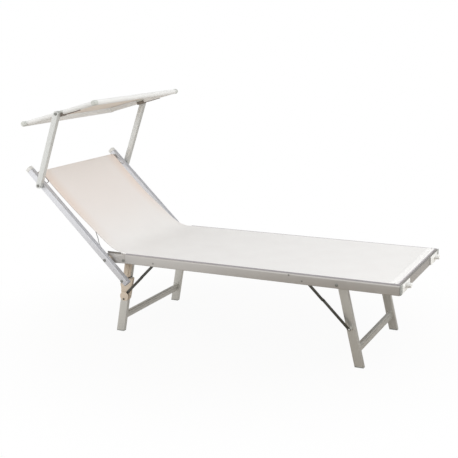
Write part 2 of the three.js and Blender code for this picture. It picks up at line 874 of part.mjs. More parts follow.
function canopyClamp() {
  const half = clampLength / 2;
  const rise = clampHeight / 2;
  const shape = roundedShape(-half, -rise, half, rise, clampEdge);
  const block = alongY(shape, clampInner, armInner - fit, clampEdge / 2);
  return cut(
    block,
    rodAlongX(sideBarRadius + fit, -half - fit, half + fit, sideBarOffset),
    rod(boltRadius + fit, sideBarOffset + sideBarRadius - fit, armInner, 0, 0, holeSides),
  );
}

// Cloth panel with a sleeve on each of the four bars
function canopyFabric() {
  const low = crossBarRadius + fit;
  const elbowSide = canopyHalfLength - elbowBoss - slideFit;
  const clampSide = clampLength / 2 + slideFit;
  const hem = elbowInner - slideFit;
  const clampHem = clampInner - slideFit;
  const shape = new THREE.Shape();
  const quarter = [
    [clampSide, clampHem],
    [clampSide, sideBarOffset],
    [elbowSide, sideBarOffset],
    [elbowSide, hem],
    [canopyHalfLength, hem],
  ];
  const turnedBack = [...quarter].reverse();
  const corners = [
    ...quarter,
    ...turnedBack.map(([x, y]) => [x, -y]),
    ...quarter.map(([x, y]) => [-x, -y]),
    ...turnedBack.map(([x, y]) => [-x, y]),
  ];
  shape.setFromPoints(corners.map(([x, y]) => new THREE.Vector2(x, y)));
  const sheet = new THREE.ExtrudeGeometry(shape, { depth: clothThickness, bevelEnabled: false });
  sheet.translate(0, 0, low);
  const hems = [-canopyHalfLength, canopyHalfLength].map((x) => (
    pipe(low + clothThickness, clothThickness, -hem, hem, x)
  ));
  const inner = sideBarRadius + fit;
  const sleeves = [-1, 1].flatMap((side) => [-1, 1].map((end) => {
    const [from, to] = [end * clampSide, end * elbowSide].sort((a, b) => a - b);
    return cut(
      rodAlongX(inner + clothThickness, from, to, side * sideBarOffset),
      rodAlongX(inner, from - fit, to + fit, side * sideBarOffset),
    );
  }));
  return joined(sheet, ...hems, ...sleeves);
}

function buildCanopy(parent) {
  const group = new THREE.Group();
  group.position.set(0, 0, armLength);
  group.rotation.y = -THREE.MathUtils.degToRad(canopySlope + armLean);
  parent.add(group);
  placePair(group, 'canopy_side_bar', sideBar(), paleSilver);
  placePair(group, 'canopy_front_elbow', cornerElbow(1), greyPlastic);
  placePair(group, 'canopy_rear_elbow', cornerElbow(-1), greyPlastic);
  placePair(group, 'canopy_clamp', canopyClamp(), darkPlastic);
  const reach = elbowInner - fit;
  const bar = (x) => pipe(crossBarRadius, crossBarWall, -reach, reach, x);
  place(group, 'canopy_front_bar', bar(canopyHalfLength), paleSilver);
  place(group, 'canopy_rear_bar', bar(-canopyHalfLength), paleSilver);
  place(group, 'canopy_fabric', canopyFabric(), canopyCloth);
  return group;
}

function buildLounger() {
  const lounger = new THREE.Group();
  lounger.name = 'sun_lounger';
  buildFrame(lounger);
  buildLegs(lounger, 'front', frontLegPivot, frontLegSplay, frontStayReach, -frontStayRun, frontFoldAngle);
  const rear = buildLegs(
    lounger,
    'rear',
    rearLegPivot,
    rearLegSplay,
    rearStayReach,
    rearStayRun,
    rearFoldAngle,
  );
  placePair(rear, 'rear_rack', rack(), tanNylon);
  const backrest = buildBackrest(lounger);
  const arms = buildArms(backrest);
  buildCanopy(arms);
  lounger.updateMatrixWorld(true);
  const bounds = new THREE.Box3().setFromObject(lounger, true);
  lounger.position.x = -(bounds.min.x + bounds.max.x) / 2;
  return lounger;
}

export default buildLounger();
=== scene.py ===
# %% [markdown]
# # A sun lounger with a canopy
#
# This file dresses the frame of a folding sun lounger: drawn aluminium rails, a woven sling
# that runs from the foot end up the backrest, a small cloth canopy on two arms, and two leg
# frames with folding stays. Each cell makes one piece or one finish, and the text before it
# says what the real piece is and why it is modelled in that way.

from math import asin, atan2, cos, degrees, hypot, pi, radians, sin, tan

import bmesh
import bpy
from mathutils import Matrix, Vector


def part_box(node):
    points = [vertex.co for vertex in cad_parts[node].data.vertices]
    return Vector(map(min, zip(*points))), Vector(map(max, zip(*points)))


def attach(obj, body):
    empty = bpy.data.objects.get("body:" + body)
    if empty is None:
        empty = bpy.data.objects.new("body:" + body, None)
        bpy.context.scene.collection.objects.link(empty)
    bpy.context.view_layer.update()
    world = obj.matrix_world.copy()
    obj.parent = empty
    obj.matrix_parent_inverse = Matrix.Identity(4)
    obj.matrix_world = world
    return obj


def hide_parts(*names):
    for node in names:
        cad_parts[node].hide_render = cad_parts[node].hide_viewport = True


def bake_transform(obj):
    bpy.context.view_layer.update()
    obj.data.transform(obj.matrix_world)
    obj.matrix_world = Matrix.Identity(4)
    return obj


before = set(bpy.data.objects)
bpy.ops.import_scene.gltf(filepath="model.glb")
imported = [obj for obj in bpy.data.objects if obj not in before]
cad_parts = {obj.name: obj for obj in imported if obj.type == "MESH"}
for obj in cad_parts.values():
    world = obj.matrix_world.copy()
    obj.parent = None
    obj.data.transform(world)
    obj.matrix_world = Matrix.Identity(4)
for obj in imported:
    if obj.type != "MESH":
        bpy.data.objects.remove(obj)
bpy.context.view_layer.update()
scene = bpy.context.scene

# %% [markdown]
# ## Places
#
# The lounger was drawn in millimetres from the head end of its side rails, with X towards the
# foot end. Every group of pieces that turns together has a place of its own, so that a piece
# can be drawn upright and simple, and then turned into place once. The place is put into the
# mesh, not into the object, because a pattern on object coordinates would turn with it. Pieces
# that meet stand apart by a small clearance, as in the drawing.

# %% Places of the groups
MM = 0.001
CLEARANCE = 0.3
HEAD_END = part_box("side_rail_near")[0][0]


def placed(x, z, turn):
    """Millimetres in a group turned about Y, to metres in the row's own frame."""
    to_group = Matrix.Translation((HEAD_END + x * MM, 0, z * MM))
    return to_group @ Matrix.Rotation(radians(turn), 4, "Y") @ Matrix.Scale(MM, 4)


def inside(group, x, z, turn):
    """A group that stands in another group."""
    return group @ Matrix.Translation((x, 0, z)) @ Matrix.Rotation(radians(turn), 4, "Y")


BACK_ANGLE = 44
ARM_LEAN = 19.8
ARM_LENGTH = 351
CANOPY_SLOPE = 15.2
FRONT_SPLAY = 13.1
REAR_SPLAY = -10.4
PIVOT = (-87, 360)
FRONT_LEG_PIVOT = (1000, 361)
REAR_LEG_PIVOT = (-10, 359)
ARM_REACH, ARM_RISE = 460, 4

SEAT = placed(0, 0, 0)
BACK = placed(*PIVOT, BACK_ANGLE)
ARM = inside(BACK, -ARM_REACH, ARM_RISE, ARM_LEAN - BACK_ANGLE)
CANOPY = inside(ARM, 0, ARM_LENGTH, -CANOPY_SLOPE - ARM_LEAN)
FRONT_LEG = placed(*FRONT_LEG_PIVOT, -FRONT_SPLAY)
REAR_LEG = placed(*REAR_LEG_PIVOT, -REAR_SPLAY)
print("canopy arm tops at", [round(value, 3) for value in CANOPY.translation])

# %% [markdown]
# ## Camera
#
# The picture was taken a little above the lounger and off its foot end, with a long lens. The
# camera is turned by its own three axes, so the small roll of the picture is kept too.

# %% Camera
CAMERA_PLACE = (1.7309, -3.6341, 1.3819)
CAMERA_YAW = radians(25.816)
CAMERA_PITCH = radians(12.739)
CAMERA_ROLL = radians(-0.691)
LENS, SENSOR = 70.436, 36

ahead = Vector((
    -sin(CAMERA_YAW) * cos(CAMERA_PITCH),
    cos(CAMERA_YAW) * cos(CAMERA_PITCH),
    -sin(CAMERA_PITCH),
))
level = Vector((cos(CAMERA_YAW), sin(CAMERA_YAW), 0))
upright = level.cross(ahead)
camera_right = level * cos(CAMERA_ROLL) + upright * sin(CAMERA_ROLL)
camera_up = upright * cos(CAMERA_ROLL) - level * sin(CAMERA_ROLL)
camera_data = bpy.data.cameras.new("camera")
camera_data.lens = LENS
camera_data.sensor_width = SENSOR
camera = bpy.data.objects.new("camera", camera_data)
axes = Matrix((camera_right, camera_up, -ahead)).transposed().to_4x4()
camera.matrix_world = Matrix.Translation(CAMERA_PLACE) @ axes
scene.collection.objects.link(camera)
scene.camera = camera
scene.view_settings.view_transform = "Standard"
print("camera looks along", [round(value, 3) for value in ahead])

# %% [markdown]
# ## Colours and nodes
#
# Colours are written as the hex values that a paint program shows. Blender works in linear
# light, so one function turns them. One more function adds a shader node with its settings
# and its links, and every material below is made with those two.

# %% Colour and node helpers
def linear(hex_code):
    """An sRGB hex colour as the linear colour that a shader takes."""
    channels = [int(hex_code[index:index + 2], 16) / 255 for index in (1, 3, 5)]
    bright = [c / 12.92 if c <= 0.04045 else ((c + 0.055) / 1.055) ** 2.4 for c in channels]
    return (*bright, 1.0)


def add_node(tree, kind, inputs=None, **settings):
    """Adds a node, sets its options, and links or sets its inputs."""
    node = tree.nodes.new(kind)
    for key, value in settings.items():
        setattr(node, key, value)
    for key, value in (inputs or {}).items():
        if isinstance(value, bpy.types.NodeSocket):
            tree.links.new(value, node.inputs[key])
        else:
            node.inputs[key].default_value = value
    return node


def start_material(name, colour, roughness, metallic=0.0):
    """A material with only its shader, and its colour, roughness and metallic set."""
    material = bpy.data.materials.new(name)
    material.use_nodes = True
    material.diffuse_color = linear(colour)
    shader = material.node_tree.nodes["Principled BSDF"]
    shader.inputs["Base Color"].default_value = linear(colour)
    shader.inputs["Roughness"].default_value = roughness
    shader.inputs["Metallic"].default_value = metallic
    return material, material.node_tree, shader


# %% [markdown]
# ## Light, floor and background
#
# The lounger stands in a plain white studio on a pale floor. The world lights it softly from
# all round. A wide softbox above the foot end gives the fabric a little more, a second one
# stands at the head end in front, and a low reflector at each end lights the canopy from below.
# Camera and transmission rays see a white world. Glossy rays see the same studio as a
# photographer sets it up for metal: white in front and above, and darker behind, so that tops
# and faces that look away turn grey and their rounded edges stay bright. The floor is white to
# the camera too, apart from a part of its own shade that keeps the shadow. In the metal it is
# bright at the head end, darker towards the foot end, and a little brighter behind the lounger.

# %% Light, floor and background
WORLD_LEVEL = 0.8
FLOOR_WHITENESS = 0.95
BRIGHT_SIDE = (-0.45, -0.75, 0.5)
DARK_FACING, BRIGHT_FACING = -0.4, 0.5
DARKEST_IN_METAL = 0.25
SHADOW_REACH, WHITE_REACH = 0.5, 1.5
HEAD_LIMIT, FOOT_LIMIT = -1.6, 0.3
FLOOR_AT_HEAD, FLOOR_AT_FOOT = 0.98, 0.0
FLOOR_BEHIND = 0.3
FLOOR_HALF = 8
WHITE = (1, 1, 1, 1)


def seen_directly(tree, in_gloss):
    """1 for a camera or transmission ray, and in_gloss for a glossy one."""
    path = add_node(tree, "ShaderNodeLightPath")
    gloss = add_node(tree, "ShaderNodeMath", {
        0: path.outputs["Is Glossy Ray"], 1: in_gloss,
    }, operation="MULTIPLY")
    straight = add_node(tree, "ShaderNodeMath", {
        0: path.outputs["Is Camera Ray"], 1: path.outputs["Is Transmission Ray"],
    }, operation="MAXIMUM")
    return add_node(tree, "ShaderNodeMath", {
        0: straight.outputs[0], 1: gloss.outputs[0],
    }, operation="MAXIMUM").outputs[0]


world = bpy.data.worlds.new("studio")
scene.world = world
world.use_nodes = True
tree = world.node_tree
tree.nodes.clear()
place = add_node(tree, "ShaderNodeTexCoord")
facing = add_node(tree, "ShaderNodeVectorMath", {
    0: place.outputs["Generated"], 1: BRIGHT_SIDE,
}, operation="DOT_PRODUCT")
side = add_node(tree, "ShaderNodeMapRange", {
    "Value": facing.outputs["Value"], "From Min": DARK_FACING, "From Max": BRIGHT_FACING,
    "To Min": DARKEST_IN_METAL, "To Max": 1.0,
})
path = add_node(tree, "ShaderNodeLightPath")
level = add_node(tree, "ShaderNodeMix", {
    "Factor": path.outputs["Is Glossy Ray"], 2: 1.0, 3: side.outputs[0],
}, data_type="FLOAT")
seen = add_node(tree, "ShaderNodeBackground", {
    "Color": WHITE, "Strength": level.outputs[0],
})
lit = add_node(tree, "ShaderNodeBackground", {"Color": WHITE, "Strength": WORLD_LEVEL})
both = add_node(tree, "ShaderNodeMixShader", {
    0: seen_directly(tree, 1.0), 1: lit.outputs[0], 2: seen.outputs[0],
})
add_node(tree, "ShaderNodeOutputWorld", {"Surface": both.outputs[0]})

floor_finish, tree, shader = start_material("painted_studio_floor", "#ABA49B", 0.9)
seen = add_node(tree, "ShaderNodeEmission", {"Color": WHITE, "Strength": 1.0})
place = add_node(tree, "ShaderNodeTexCoord")
reach = add_node(tree, "ShaderNodeVectorMath", {
    0: place.outputs["Object"],
}, operation="LENGTH")
whiteness = add_node(tree, "ShaderNodeMapRange", {
    "Value": reach.outputs["Value"], "From Min": SHADOW_REACH, "From Max": WHITE_REACH,
    "To Min": FLOOR_WHITENESS, "To Max": 1.0,
}, interpolation_type="SMOOTHSTEP")
parts = add_node(tree, "ShaderNodeSeparateXYZ", {0: place.outputs["Object"]})
lengthwise = add_node(tree, "ShaderNodeMapRange", {
    "Value": parts.outputs["X"], "From Min": HEAD_LIMIT, "From Max": FOOT_LIMIT,
    "To Min": FLOOR_AT_HEAD, "To Max": FLOOR_AT_FOOT,
})
crosswise = add_node(tree, "ShaderNodeMapRange", {
    "Value": parts.outputs["Y"], "From Min": 0.0, "From Max": 1.0,
    "To Min": 0.0, "To Max": FLOOR_BEHIND,
})
in_metal = add_node(tree, "ShaderNodeMath", {
    0: lengthwise.outputs[0], 1: crosswise.outputs[0],
}, operation="MAXIMUM")
share = add_node(tree, "ShaderNodeMath", {
    0: seen_directly(tree, in_metal.outputs[0]), 1: whiteness.outputs[0],
}, operation="MULTIPLY")
both = add_node(tree, "ShaderNodeMixShader", {
    0: share.outputs[0], 1: shader.outputs[0], 2: seen.outputs[0],
})
tree.links.new(both.outputs[0], tree.nodes["Material Output"].inputs["Surface"])

bm = bmesh.new()
bmesh.ops.create_grid(bm, x_segments=4, y_segments=4, size=FLOOR_HALF)
mesh = bpy.data.meshes.new("studio_floor")
bm.to_mesh(mesh)
bm.free()
floor = bpy.data.objects.new("studio_floor", mesh)
floor.data.materials.append(floor_finish)
scene.collection.objects.link(floor)


def add_softbox(name, place, target, size, power):
    """A square soft lamp that faces a point. Metal shows the studio, and not the lamp itself."""
    data = bpy.data.lights.new(name, "AREA")
    data.shape = "SQUARE"
    data.size = size
    data.energy = power
    lamp = bpy.data.objects.new(name, data)
    lamp.location = place
    lamp.rotation_euler = (Vector(target) - Vector(place)).to_track_quat("-Z", "Y").to_euler()
    lamp.visible_glossy = False
    scene.collection.objects.link(lamp)


add_softbox("top_softbox", (2.0, -0.4, 2.7), (0.3, 0, 0.4), 2.2, 19)
add_softbox("head_end_softbox", (-2.1, -2.2, 1.5), (-0.4, -0.3, 0.5), 1.4, 6)
add_softbox("low_reflector", (-1.7, -1.7, 0.75), (-0.69, 0, 1.05), 1.3, 7.5)
add_softbox("foot_end_reflector", (2.4, 0.2, 0.65), (-0.5, 0, 1.0), 1.1, 12)
print("world level", WORLD_LEVEL)

# %% [markdown]
# ## Shaping helpers
#
# Nearly every hard piece of a lounger is one of three things: a section drawn out into a bar,
# a profile turned about an axis, or a small tube bent along a line. Each gets one helper that
# starts from a few vertices and lets the bmesh operators do the rest. The rims and corners are
# always softened, because it is the highlight on a small rounded edge that tells the eye how
# thick a sheet of metal is.

# %% Shaping helpers
AXIS = {"X": (0, 1, 2), "Y": (1, 0, 2), "Z": (2, 0, 1)}
ROUND_STEPS = 40
CORNER_STEPS = 6
SHARP_EDGE = radians(40)
JOIN = 0.001


def spot(axis, along, across, up):
    """A point given along, across and up from a bar's own axis."""
    point = [0.0, 0.0, 0.0]
    for index, value in zip(AXIS[axis], (along, across, up)):
        point[index] = value
    return point


def soften(bm, edges, amount, segments=2):
    """Rounds edges over."""
    bmesh.ops.bevel(
        bm, geom=edges, offset=amount, offset_type="OFFSET", segments=segments,
        profile=0.5, affect="EDGES", material=-1, clamp_overlap=True,
    )


def drawn_bar(axis, start, end, corners, rounding=(), rim=0.5, rim_segments=2):
    """A section, its corners rounded, drawn out from start to end along an axis."""
    bm = bmesh.new()
    points = [bm.verts.new(spot(axis, start, *corner)) for corner in corners]
    bm.faces.new(points)
    for radius, which in rounding:
        bmesh.ops.bevel(
            bm, geom=[points[index] for index in which], offset=radius, offset_type="OFFSET",
            segments=CORNER_STEPS, profile=0.5, affect="VERTICES", material=-1, clamp_overlap=True,
        )
    drawn = bmesh.ops.extrude_face_region(bm, geom=bm.faces[:])
    moved = [item for item in drawn["geom"] if isinstance(item, bmesh.types.BMVert)]
    bmesh.ops.translate(bm, verts=moved, vec=spot(axis, end - start, 0, 0))
    if rim:
        index = AXIS[axis][0]
        rims = [
            edge for edge in bm.edges
            if abs(edge.verts[0].co[index] - edge.verts[1].co[index]) < JOIN
        ]
        soften(bm, rims, rim, rim_segments)
    return bm


def box_corners(left, low, right, high):
    """The four corners of a rectangular section."""
    return [(left, low), (right, low), (right, high), (left, high)]


def turned(axis, profile, across=0, up=0, rim=0.4):
    """A profile of radius and place along an axis, turned once round it."""
    bm = bmesh.new()
    points = [bm.verts.new(spot(axis, along, radius, 0)) for radius, along in profile]
    edges = [bm.edges.new(pair) for pair in zip(points, points[1:])]
    bmesh.ops.spin(
        bm, geom=points + edges, axis=spot(axis, 1, 0, 0), cent=(0, 0, 0),
        angle=2 * pi, steps=ROUND_STEPS, use_merge=True,
    )
    bmesh.ops.remove_doubles(bm, verts=bm.verts[:], dist=JOIN)
    bmesh.ops.recalc_face_normals(bm, faces=bm.faces[:])
    if rim:
        sharp = [
            edge for edge in bm.edges
            if len(edge.link_faces) == 2 and edge.calc_face_angle() > SHARP_EDGE
        ]
        soften(bm, sharp, rim)
    bmesh.ops.translate(bm, verts=bm.verts[:], vec=spot(axis, 0, across, up))
    return bm


def rod(axis, radius, start, end, across=0, up=0, rim=0.4, bore=0):
    """A round bar from start to end along an axis, or a ring if it has a bore."""
    profile = [(bore, start), (radius, start), (radius, end), (bore, end)]
    if bore:
        profile.append(profile[0])
    return turned(axis, profile, across, up, rim)


def either_way(values):
    """The values below zero first, and then above it."""
    above = list(values)
    return [-value for value in above] + above


def ramp(value, start, run):
    """0 up to start, 1 past the run, and straight between."""
    return min(max((value - start) / run, 0.0), 1.0)


def bent_tube(radius, points, sides=12):
    """A small tube along a line of points, closed at both ends."""
    line = [Vector(point) for point in points]
    bm = bmesh.new()
    ring = bmesh.ops.create_circle(bm, segments=sides, radius=radius)["verts"]
    edges = bm.edges[:]
    bmesh.ops.contextual_create(bm, geom=edges)
    here = Matrix()
    for index, point in enumerate(line):
        before = line[max(index - 1, 0)]
        after = line[min(index + 1, len(line) - 1)]
        turn = (after - before).to_track_quat("Z", "X").to_matrix().to_4x4()
        there = Matrix.Translation(point) @ turn
        if index:
            grown = bmesh.ops.extrude_edge_only(bm, edges=edges)["geom"]
            ring = [item for item in grown if isinstance(item, bmesh.types.BMVert)]
            edges = [
                item for item in grown
                if isinstance(item, bmesh.types.BMEdge) and all(v in ring for v in item.verts)
            ]
        bmesh.ops.transform(bm, matrix=there @ here.inverted(), verts=ring)
        here = there
    bmesh.ops.contextual_create(bm, geom=edges)
    return bm


def merged(*parts):
    """Several bmeshes as one."""
    whole = parts[0]
    for part in parts[1:]:
        mesh = bpy.data.meshes.new("part")
        part.to_mesh(mesh)
        part.free()
        whole.from_mesh(mesh)
        bpy.data.meshes.remove(mesh)
    return whole


def both_sides(shape):
    """A shape as it is drawn, on the far side, and its mirror image on the near side."""
    halves = [shape(), shape()]
    bmesh.ops.scale(halves[1], vec=(1, -1, 1), verts=halves[1].verts[:])
    return halves


# %% [markdown]
# ## Adding a piece
#
# The grain is the piece's own drawing direction, kept as an attribute, so that the fine lines
# of drawn or brushed metal run along each bar however the bar is turned on the lounger.

# %% Adding pieces
SHADING_ANGLE = radians(32)


def add_piece(bm, name, place, finish, body, stands_for=(), grain="X", mirror=False):
    """Makes an object of a bmesh, in place, that rides on a body."""
    layer = bm.verts.layers.float_vector.new("grain")
    for vert in bm.verts:
        vert[layer] = [vert.co[index] * MM for index in AXIS[grain]]
    if mirror:
        bmesh.ops.scale(bm, vec=(1, -1, 1), verts=bm.verts[:])
    bmesh.ops.transform(bm, matrix=place, verts=bm.verts[:])
    bmesh.ops.recalc_face_normals(bm, faces=bm.faces[:])
    mesh = bpy.data.meshes.new(name)
    bm.to_mesh(mesh)
    bm.free()
    mesh.shade_smooth()
    mesh.set_sharp_from_angle(angle=SHADING_ANGLE)
    mesh.materials.append(finish)
    piece = bpy.data.objects.new(name, mesh)
    scene.collection.objects.link(piece)
    if body:
        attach(piece, body)
    if stands_for:
        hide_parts(*stands_for)
    return piece


def add_pair(shape, name, place, finish, body, slot, stands_for="", grain="X"):
    """The far and the near one of a piece, each from its own call of shape."""
    for side in ("far", "near"):
        nodes = [f"{stands_for}_{side}"] if stands_for else []
        near = side == "near"
        add_piece(shape(), f"{name}_{side}", place, finish, body, nodes, grain, near)


# %% [markdown]
# ## Anodised aluminium
#
# The rails and legs are extruded aluminium, etched matt and anodised in its natural grey. The
# die leaves very fine lines along the bar, and the clear oxide layer scatters some of the
# light, so it is softer than bare metal and its metallic value is a little under 1. Noise
# that is stretched along the grain gives the lines. The real ones are finer than a tenth of a
# millimetre; here they are drawn about half a millimetre wide, so that they still show.

# %% Metals
DIE_LINE = 0.5
CLOUD = 60
METAL_BUMP, PLASTIC_BUMP, WEAVE_BUMP = 0.12, 0.3, 0.3


def dress(tree, shader, share, shade, colour, height, strength, depth):
    """Mixes two tones of a finish by a share, and raises its surface by a height."""
    colours = add_node(tree, "ShaderNodeMix", {
        "Factor": share, 6: linear(shade), 7: linear(colour),
    }, data_type="RGBA")
    bump = add_node(tree, "ShaderNodeBump", {
        "Height": height, "Strength": strength, "Distance": depth * MM,
    })
    tree.links.new(colours.outputs[2], shader.inputs["Base Color"])
    tree.links.new(bump.outputs[0], shader.inputs["Normal"])
    return colours.outputs[2]


def drawn_metal(name, colour, shade, roughness, line_depth, metallic=1.0):
    """A drawn or rolled metal with fine lines along the grain attribute."""
    material, tree, shader = start_material(name, colour, roughness, metallic)
    grain = add_node(tree, "ShaderNodeAttribute", attribute_name="grain")
    stretched = add_node(tree, "ShaderNodeMapping", {
        "Vector": grain.outputs["Vector"],
        "Scale": (3, 1 / (DIE_LINE * MM), 1 / (DIE_LINE * MM)),
    })
    lines = add_node(tree, "ShaderNodeTexNoise", {
        "Vector": stretched.outputs[0], "Scale": 1.0, "Detail": 2.0,
    })
    clouds = add_node(tree, "ShaderNodeTexNoise", {
        "Vector": grain.outputs["Vector"], "Scale": 1 / (CLOUD * MM), "Detail": 3.0,
    })
    tone = add_node(tree, "ShaderNodeMath", {
        0: lines.outputs[0], 1: clouds.outputs[0],
    }, operation="ADD")
    half = add_node(tree, "ShaderNodeMath", {0: tone.outputs[0], 1: 0.5}, operation="MULTIPLY")
    rough = add_node(tree, "ShaderNodeMapRange", {
        "Value": half.outputs[0], "From Min": 0.3, "From Max": 0.7,
        "To Min": roughness - 0.05, "To Max": roughness + 0.06,
    })
    tree.links.new(rough.outputs[0], shader.inputs["Roughness"])
    dress(
        tree, shader, half.outputs[0], shade, colour, lines.outputs[0], METAL_BUMP, line_depth,
    )
    return material


anodised = drawn_metal("anodised_aluminium_rail", "#D1CECA", "#BEBBB7", 0.42, 0.03, 0.8)
# The backrest, the canopy tubes and the legs are the same anodised aluminium as the rails. Their
# lighter copies of its colour, and their other metallic values, paint how the light falls on each
# part.
anodised_back_painted_lighter = drawn_metal("anodised_aluminium_backrest_painted_lighter", "#E6E7EB", "#D8D9DD", 0.42, 0.03, 0.5)
tube_painted_lighter = drawn_metal("anodised_tube_painted_lighter", "#E2E3E0", "#D5D6D3", 0.42, 0.02, 0.65)
anodised_leg_painted_lighter = drawn_metal("anodised_aluminium_leg_painted_lighter", "#E0DFDA", "#D2D1CB", 0.42, 0.03, 0.8)
dark_stay_steel = drawn_metal("dark_phosphated_steel", "#6A6964", "#53524D", 0.45, 0.03)
zinc = drawn_metal("zinc_plated_steel", "#A4A49F", "#8E8E8A", 0.34, 0.02)
print("metals:", anodised.name, tube_painted_lighter.name, dark_stay_steel.name, zinc.name)

# %% [markdown]
# ## Moulded plastics
#
# Caps, elbows, clamps and feet are injection moulded, in nylon or polypropylene. The mould is
# spark eroded, which leaves a fine even grain of about a third of a millimetre on the surface,
# dull but not dusty, and a little darker where hands and weather have been.

# %% Moulded plastics
MOULD_GRAIN, GRAIN_DEPTH = 0.35, 0.05
STAIN = 25


def moulded(name, colour, shade, roughness):
    """An injection-moulded plastic with a spark-eroded grain."""
    material, tree, shader = start_material(name, colour, roughness)
    place = add_node(tree, "ShaderNodeTexCoord")
    grain = add_node(tree, "ShaderNodeTexNoise", {
        "Vector": place.outputs["Object"], "Scale": 1 / (MOULD_GRAIN * MM), "Detail": 1.0,
    })
    stain = add_node(tree, "ShaderNodeTexNoise", {
        "Vector": place.outputs["Object"], "Scale": 1 / (STAIN * MM), "Detail": 3.0,
    })
    dress(
        tree, shader, stain.outputs[0], shade, colour, grain.outputs[0], PLASTIC_BUMP,
        GRAIN_DEPTH,
    )
    return material


white_plastic = moulded("moulded_white_nylon", "#EFEFEC", "#DFDFDB", 0.45)
grey_plastic = moulded("moulded_grey_polypropylene", "#A9ABA7", "#979995", 0.5)
pale_plastic = moulded("moulded_pale_grey_nylon", "#DCDED9", "#CCCFC9", 0.45)
# This dark nylon is used only for the bracket's top strip, and its darkness paints the sling's
# shade there.
dark_plastic = moulded("dark_grey_nylon_painted_shade", "#8A8682", "#787470", 0.5)
# The clamp blocks' warm grey paints the shade below their pale caps.
clamp_painted_shade_grey = moulded("warm_grey_nylon_painted_shade", "#8C837A", "#7C746C", 0.5)
plug_grey = moulded("moulded_cool_grey_nylon", "#CDCED4", "#BFC0C6", 0.5)
# The grey of the slot strips is partly their own and partly painted shade in the slot.
keder_and_painted_shade_grey = moulded("grey_pvc_keder_and_painted_shade", "#BDB9BC", "#AFABAE", 0.55)
tan_nylon = moulded("moulded_tan_nylon", "#E6D8C6", "#D8C9B6", 0.5)
tie_grey = moulded("elastic_grey_cord", "#9A9A98", "#8C8C8A", 0.7)
# This brown cord paints shade lines: along the sling's top corners and under the canopy's side
# sleeves.
painted_shade_cord = moulded("brown_cord_painted_shade", "#7A6A62", "#6C5D56", 0.8)
print("plastics:", white_plastic.name, grey_plastic.name, dark_plastic.name, tan_nylon.name)

# %% [markdown]
# ## Side rails
#
# Each rail is one extrusion. The fabric lies over the inner half of its top and dives into a
# slot, where a grey plastic strip wedges its edge, and a lower lip with a bright bevelled edge
# stands outside the slot. The strip makes the thin dark line between the fabric and the lip:
# it holds the fabric, and its grey also paints the shade down in the slot. The walls inside
# are never seen, so the section is drawn solid, with only its slot.

# %% Side rails
RAIL_INNER, RAIL_OUTER = 300, 325
RAIL_LOW, RAIL_TOP, LIP_TOP = 345, 388.4, 386.0
SHELF_LOW, SHELF_HIGH = 387.4, 388.4
SLOT_NEAR, SLOT_FAR, SLOT_LOW = 310.8, 316, 377.5
BEVEL = 4.2
FRAME_LENGTH = 1258

rail_section = [
    (RAIL_INNER, RAIL_LOW), (RAIL_OUTER, RAIL_LOW), (RAIL_OUTER, LIP_TOP - BEVEL),
    (RAIL_OUTER - BEVEL * 0.8, LIP_TOP), (SLOT_FAR, LIP_TOP), (SLOT_FAR, SLOT_LOW),
    (SLOT_NEAR, SLOT_LOW), (SLOT_NEAR, SHELF_HIGH), (RAIL_INNER, SHELF_LOW),
]
rail_rounding = [(3, (1,)), (1.4, (2, 3)), (1, (0, 8)), (0.9, (4, 7))]
add_pair(
    lambda: drawn_bar("X", 0, FRAME_LENGTH, rail_section, rail_rounding, rim=0.4),
    "side_rail_bar", SEAT, anodised, "frame", "anodised_aluminium", "side_rail",
)

# The crossbar has the same section, turned so that its shelf is towards the head end
FOOT_INSET = FRAME_LENGTH - RAIL_OUTER
cross_section = [(FOOT_INSET + across, up) for across, up in rail_section]
cross_end = RAIL_INNER - CLEARANCE
foot_bar = drawn_bar("Y", -cross_end, cross_end, cross_section, rail_rounding, rim=0.4)
add_piece(
    foot_bar, "foot_crossbar_bar", SEAT, anodised, "frame",
    ["foot_crossbar"], "Y",
)

STRIP_SIDE = (313.4, 315.9)
STRIP_LOW, STRIP_TOP = 379, 390.6


def edge_strip(axis, start, end, inset):
    corners = box_corners(inset + STRIP_SIDE[0], STRIP_LOW, inset + STRIP_SIDE[1], STRIP_TOP)
    return drawn_bar(axis, start, end, corners, [(1.1, (2, 3))], rim=0.4)


add_pair(
    lambda: edge_strip("X", 1, FRAME_LENGTH - 1, 0),
    "side_edge_strip", SEAT, keder_and_painted_shade_grey, "frame", "grey_plastic",
)
add_piece(
    edge_strip("Y", -STRIP_SIDE[0], STRIP_SIDE[0], FOOT_INSET),
    "foot_edge_strip", SEAT, keder_and_painted_shade_grey, "frame",
)
print("rail section", len(rail_section), "corners")

# %% [markdown]
# ## Backrest rails
#
# The backrest rails are a smaller box section with two drawn grooves on the face that looks
# up, and round moulded plugs in both ends.

# %% Backrest rails
BACK_INNER, BACK_OUTER = 331.5, 359
BACK_LOW, BACK_TOP = -9.5, 17.5
BACK_ABOVE, BACK_BELOW = 548, 138
BACK_CORNER = 3.5
GROOVE_HALF, GROOVE_DEPTH = 1.7, 2.2
grooves = (339.5, 352.5)
PLUG_GAP = 0.6
HEAD_BAR, HEAD_BAR_RADIUS = (520, 4), 11


def back_rail():
    section = [(BACK_INNER, BACK_LOW), (BACK_OUTER, BACK_LOW), (BACK_OUTER, BACK_TOP)]
    for middle in reversed(grooves):
        section += [
            (middle + GROOVE_HALF, BACK_TOP), (middle + GROOVE_HALF, BACK_TOP - GROOVE_DEPTH),
            (middle - GROOVE_HALF, BACK_TOP - GROOVE_DEPTH), (middle - GROOVE_HALF, BACK_TOP),
        ]
    section.append((BACK_INNER, BACK_TOP))
    rounding = [(BACK_CORNER, (0, 1, 2, len(section) - 1))]
    return drawn_bar("X", -BACK_ABOVE, BACK_BELOW, section, rounding, rim=0.4)


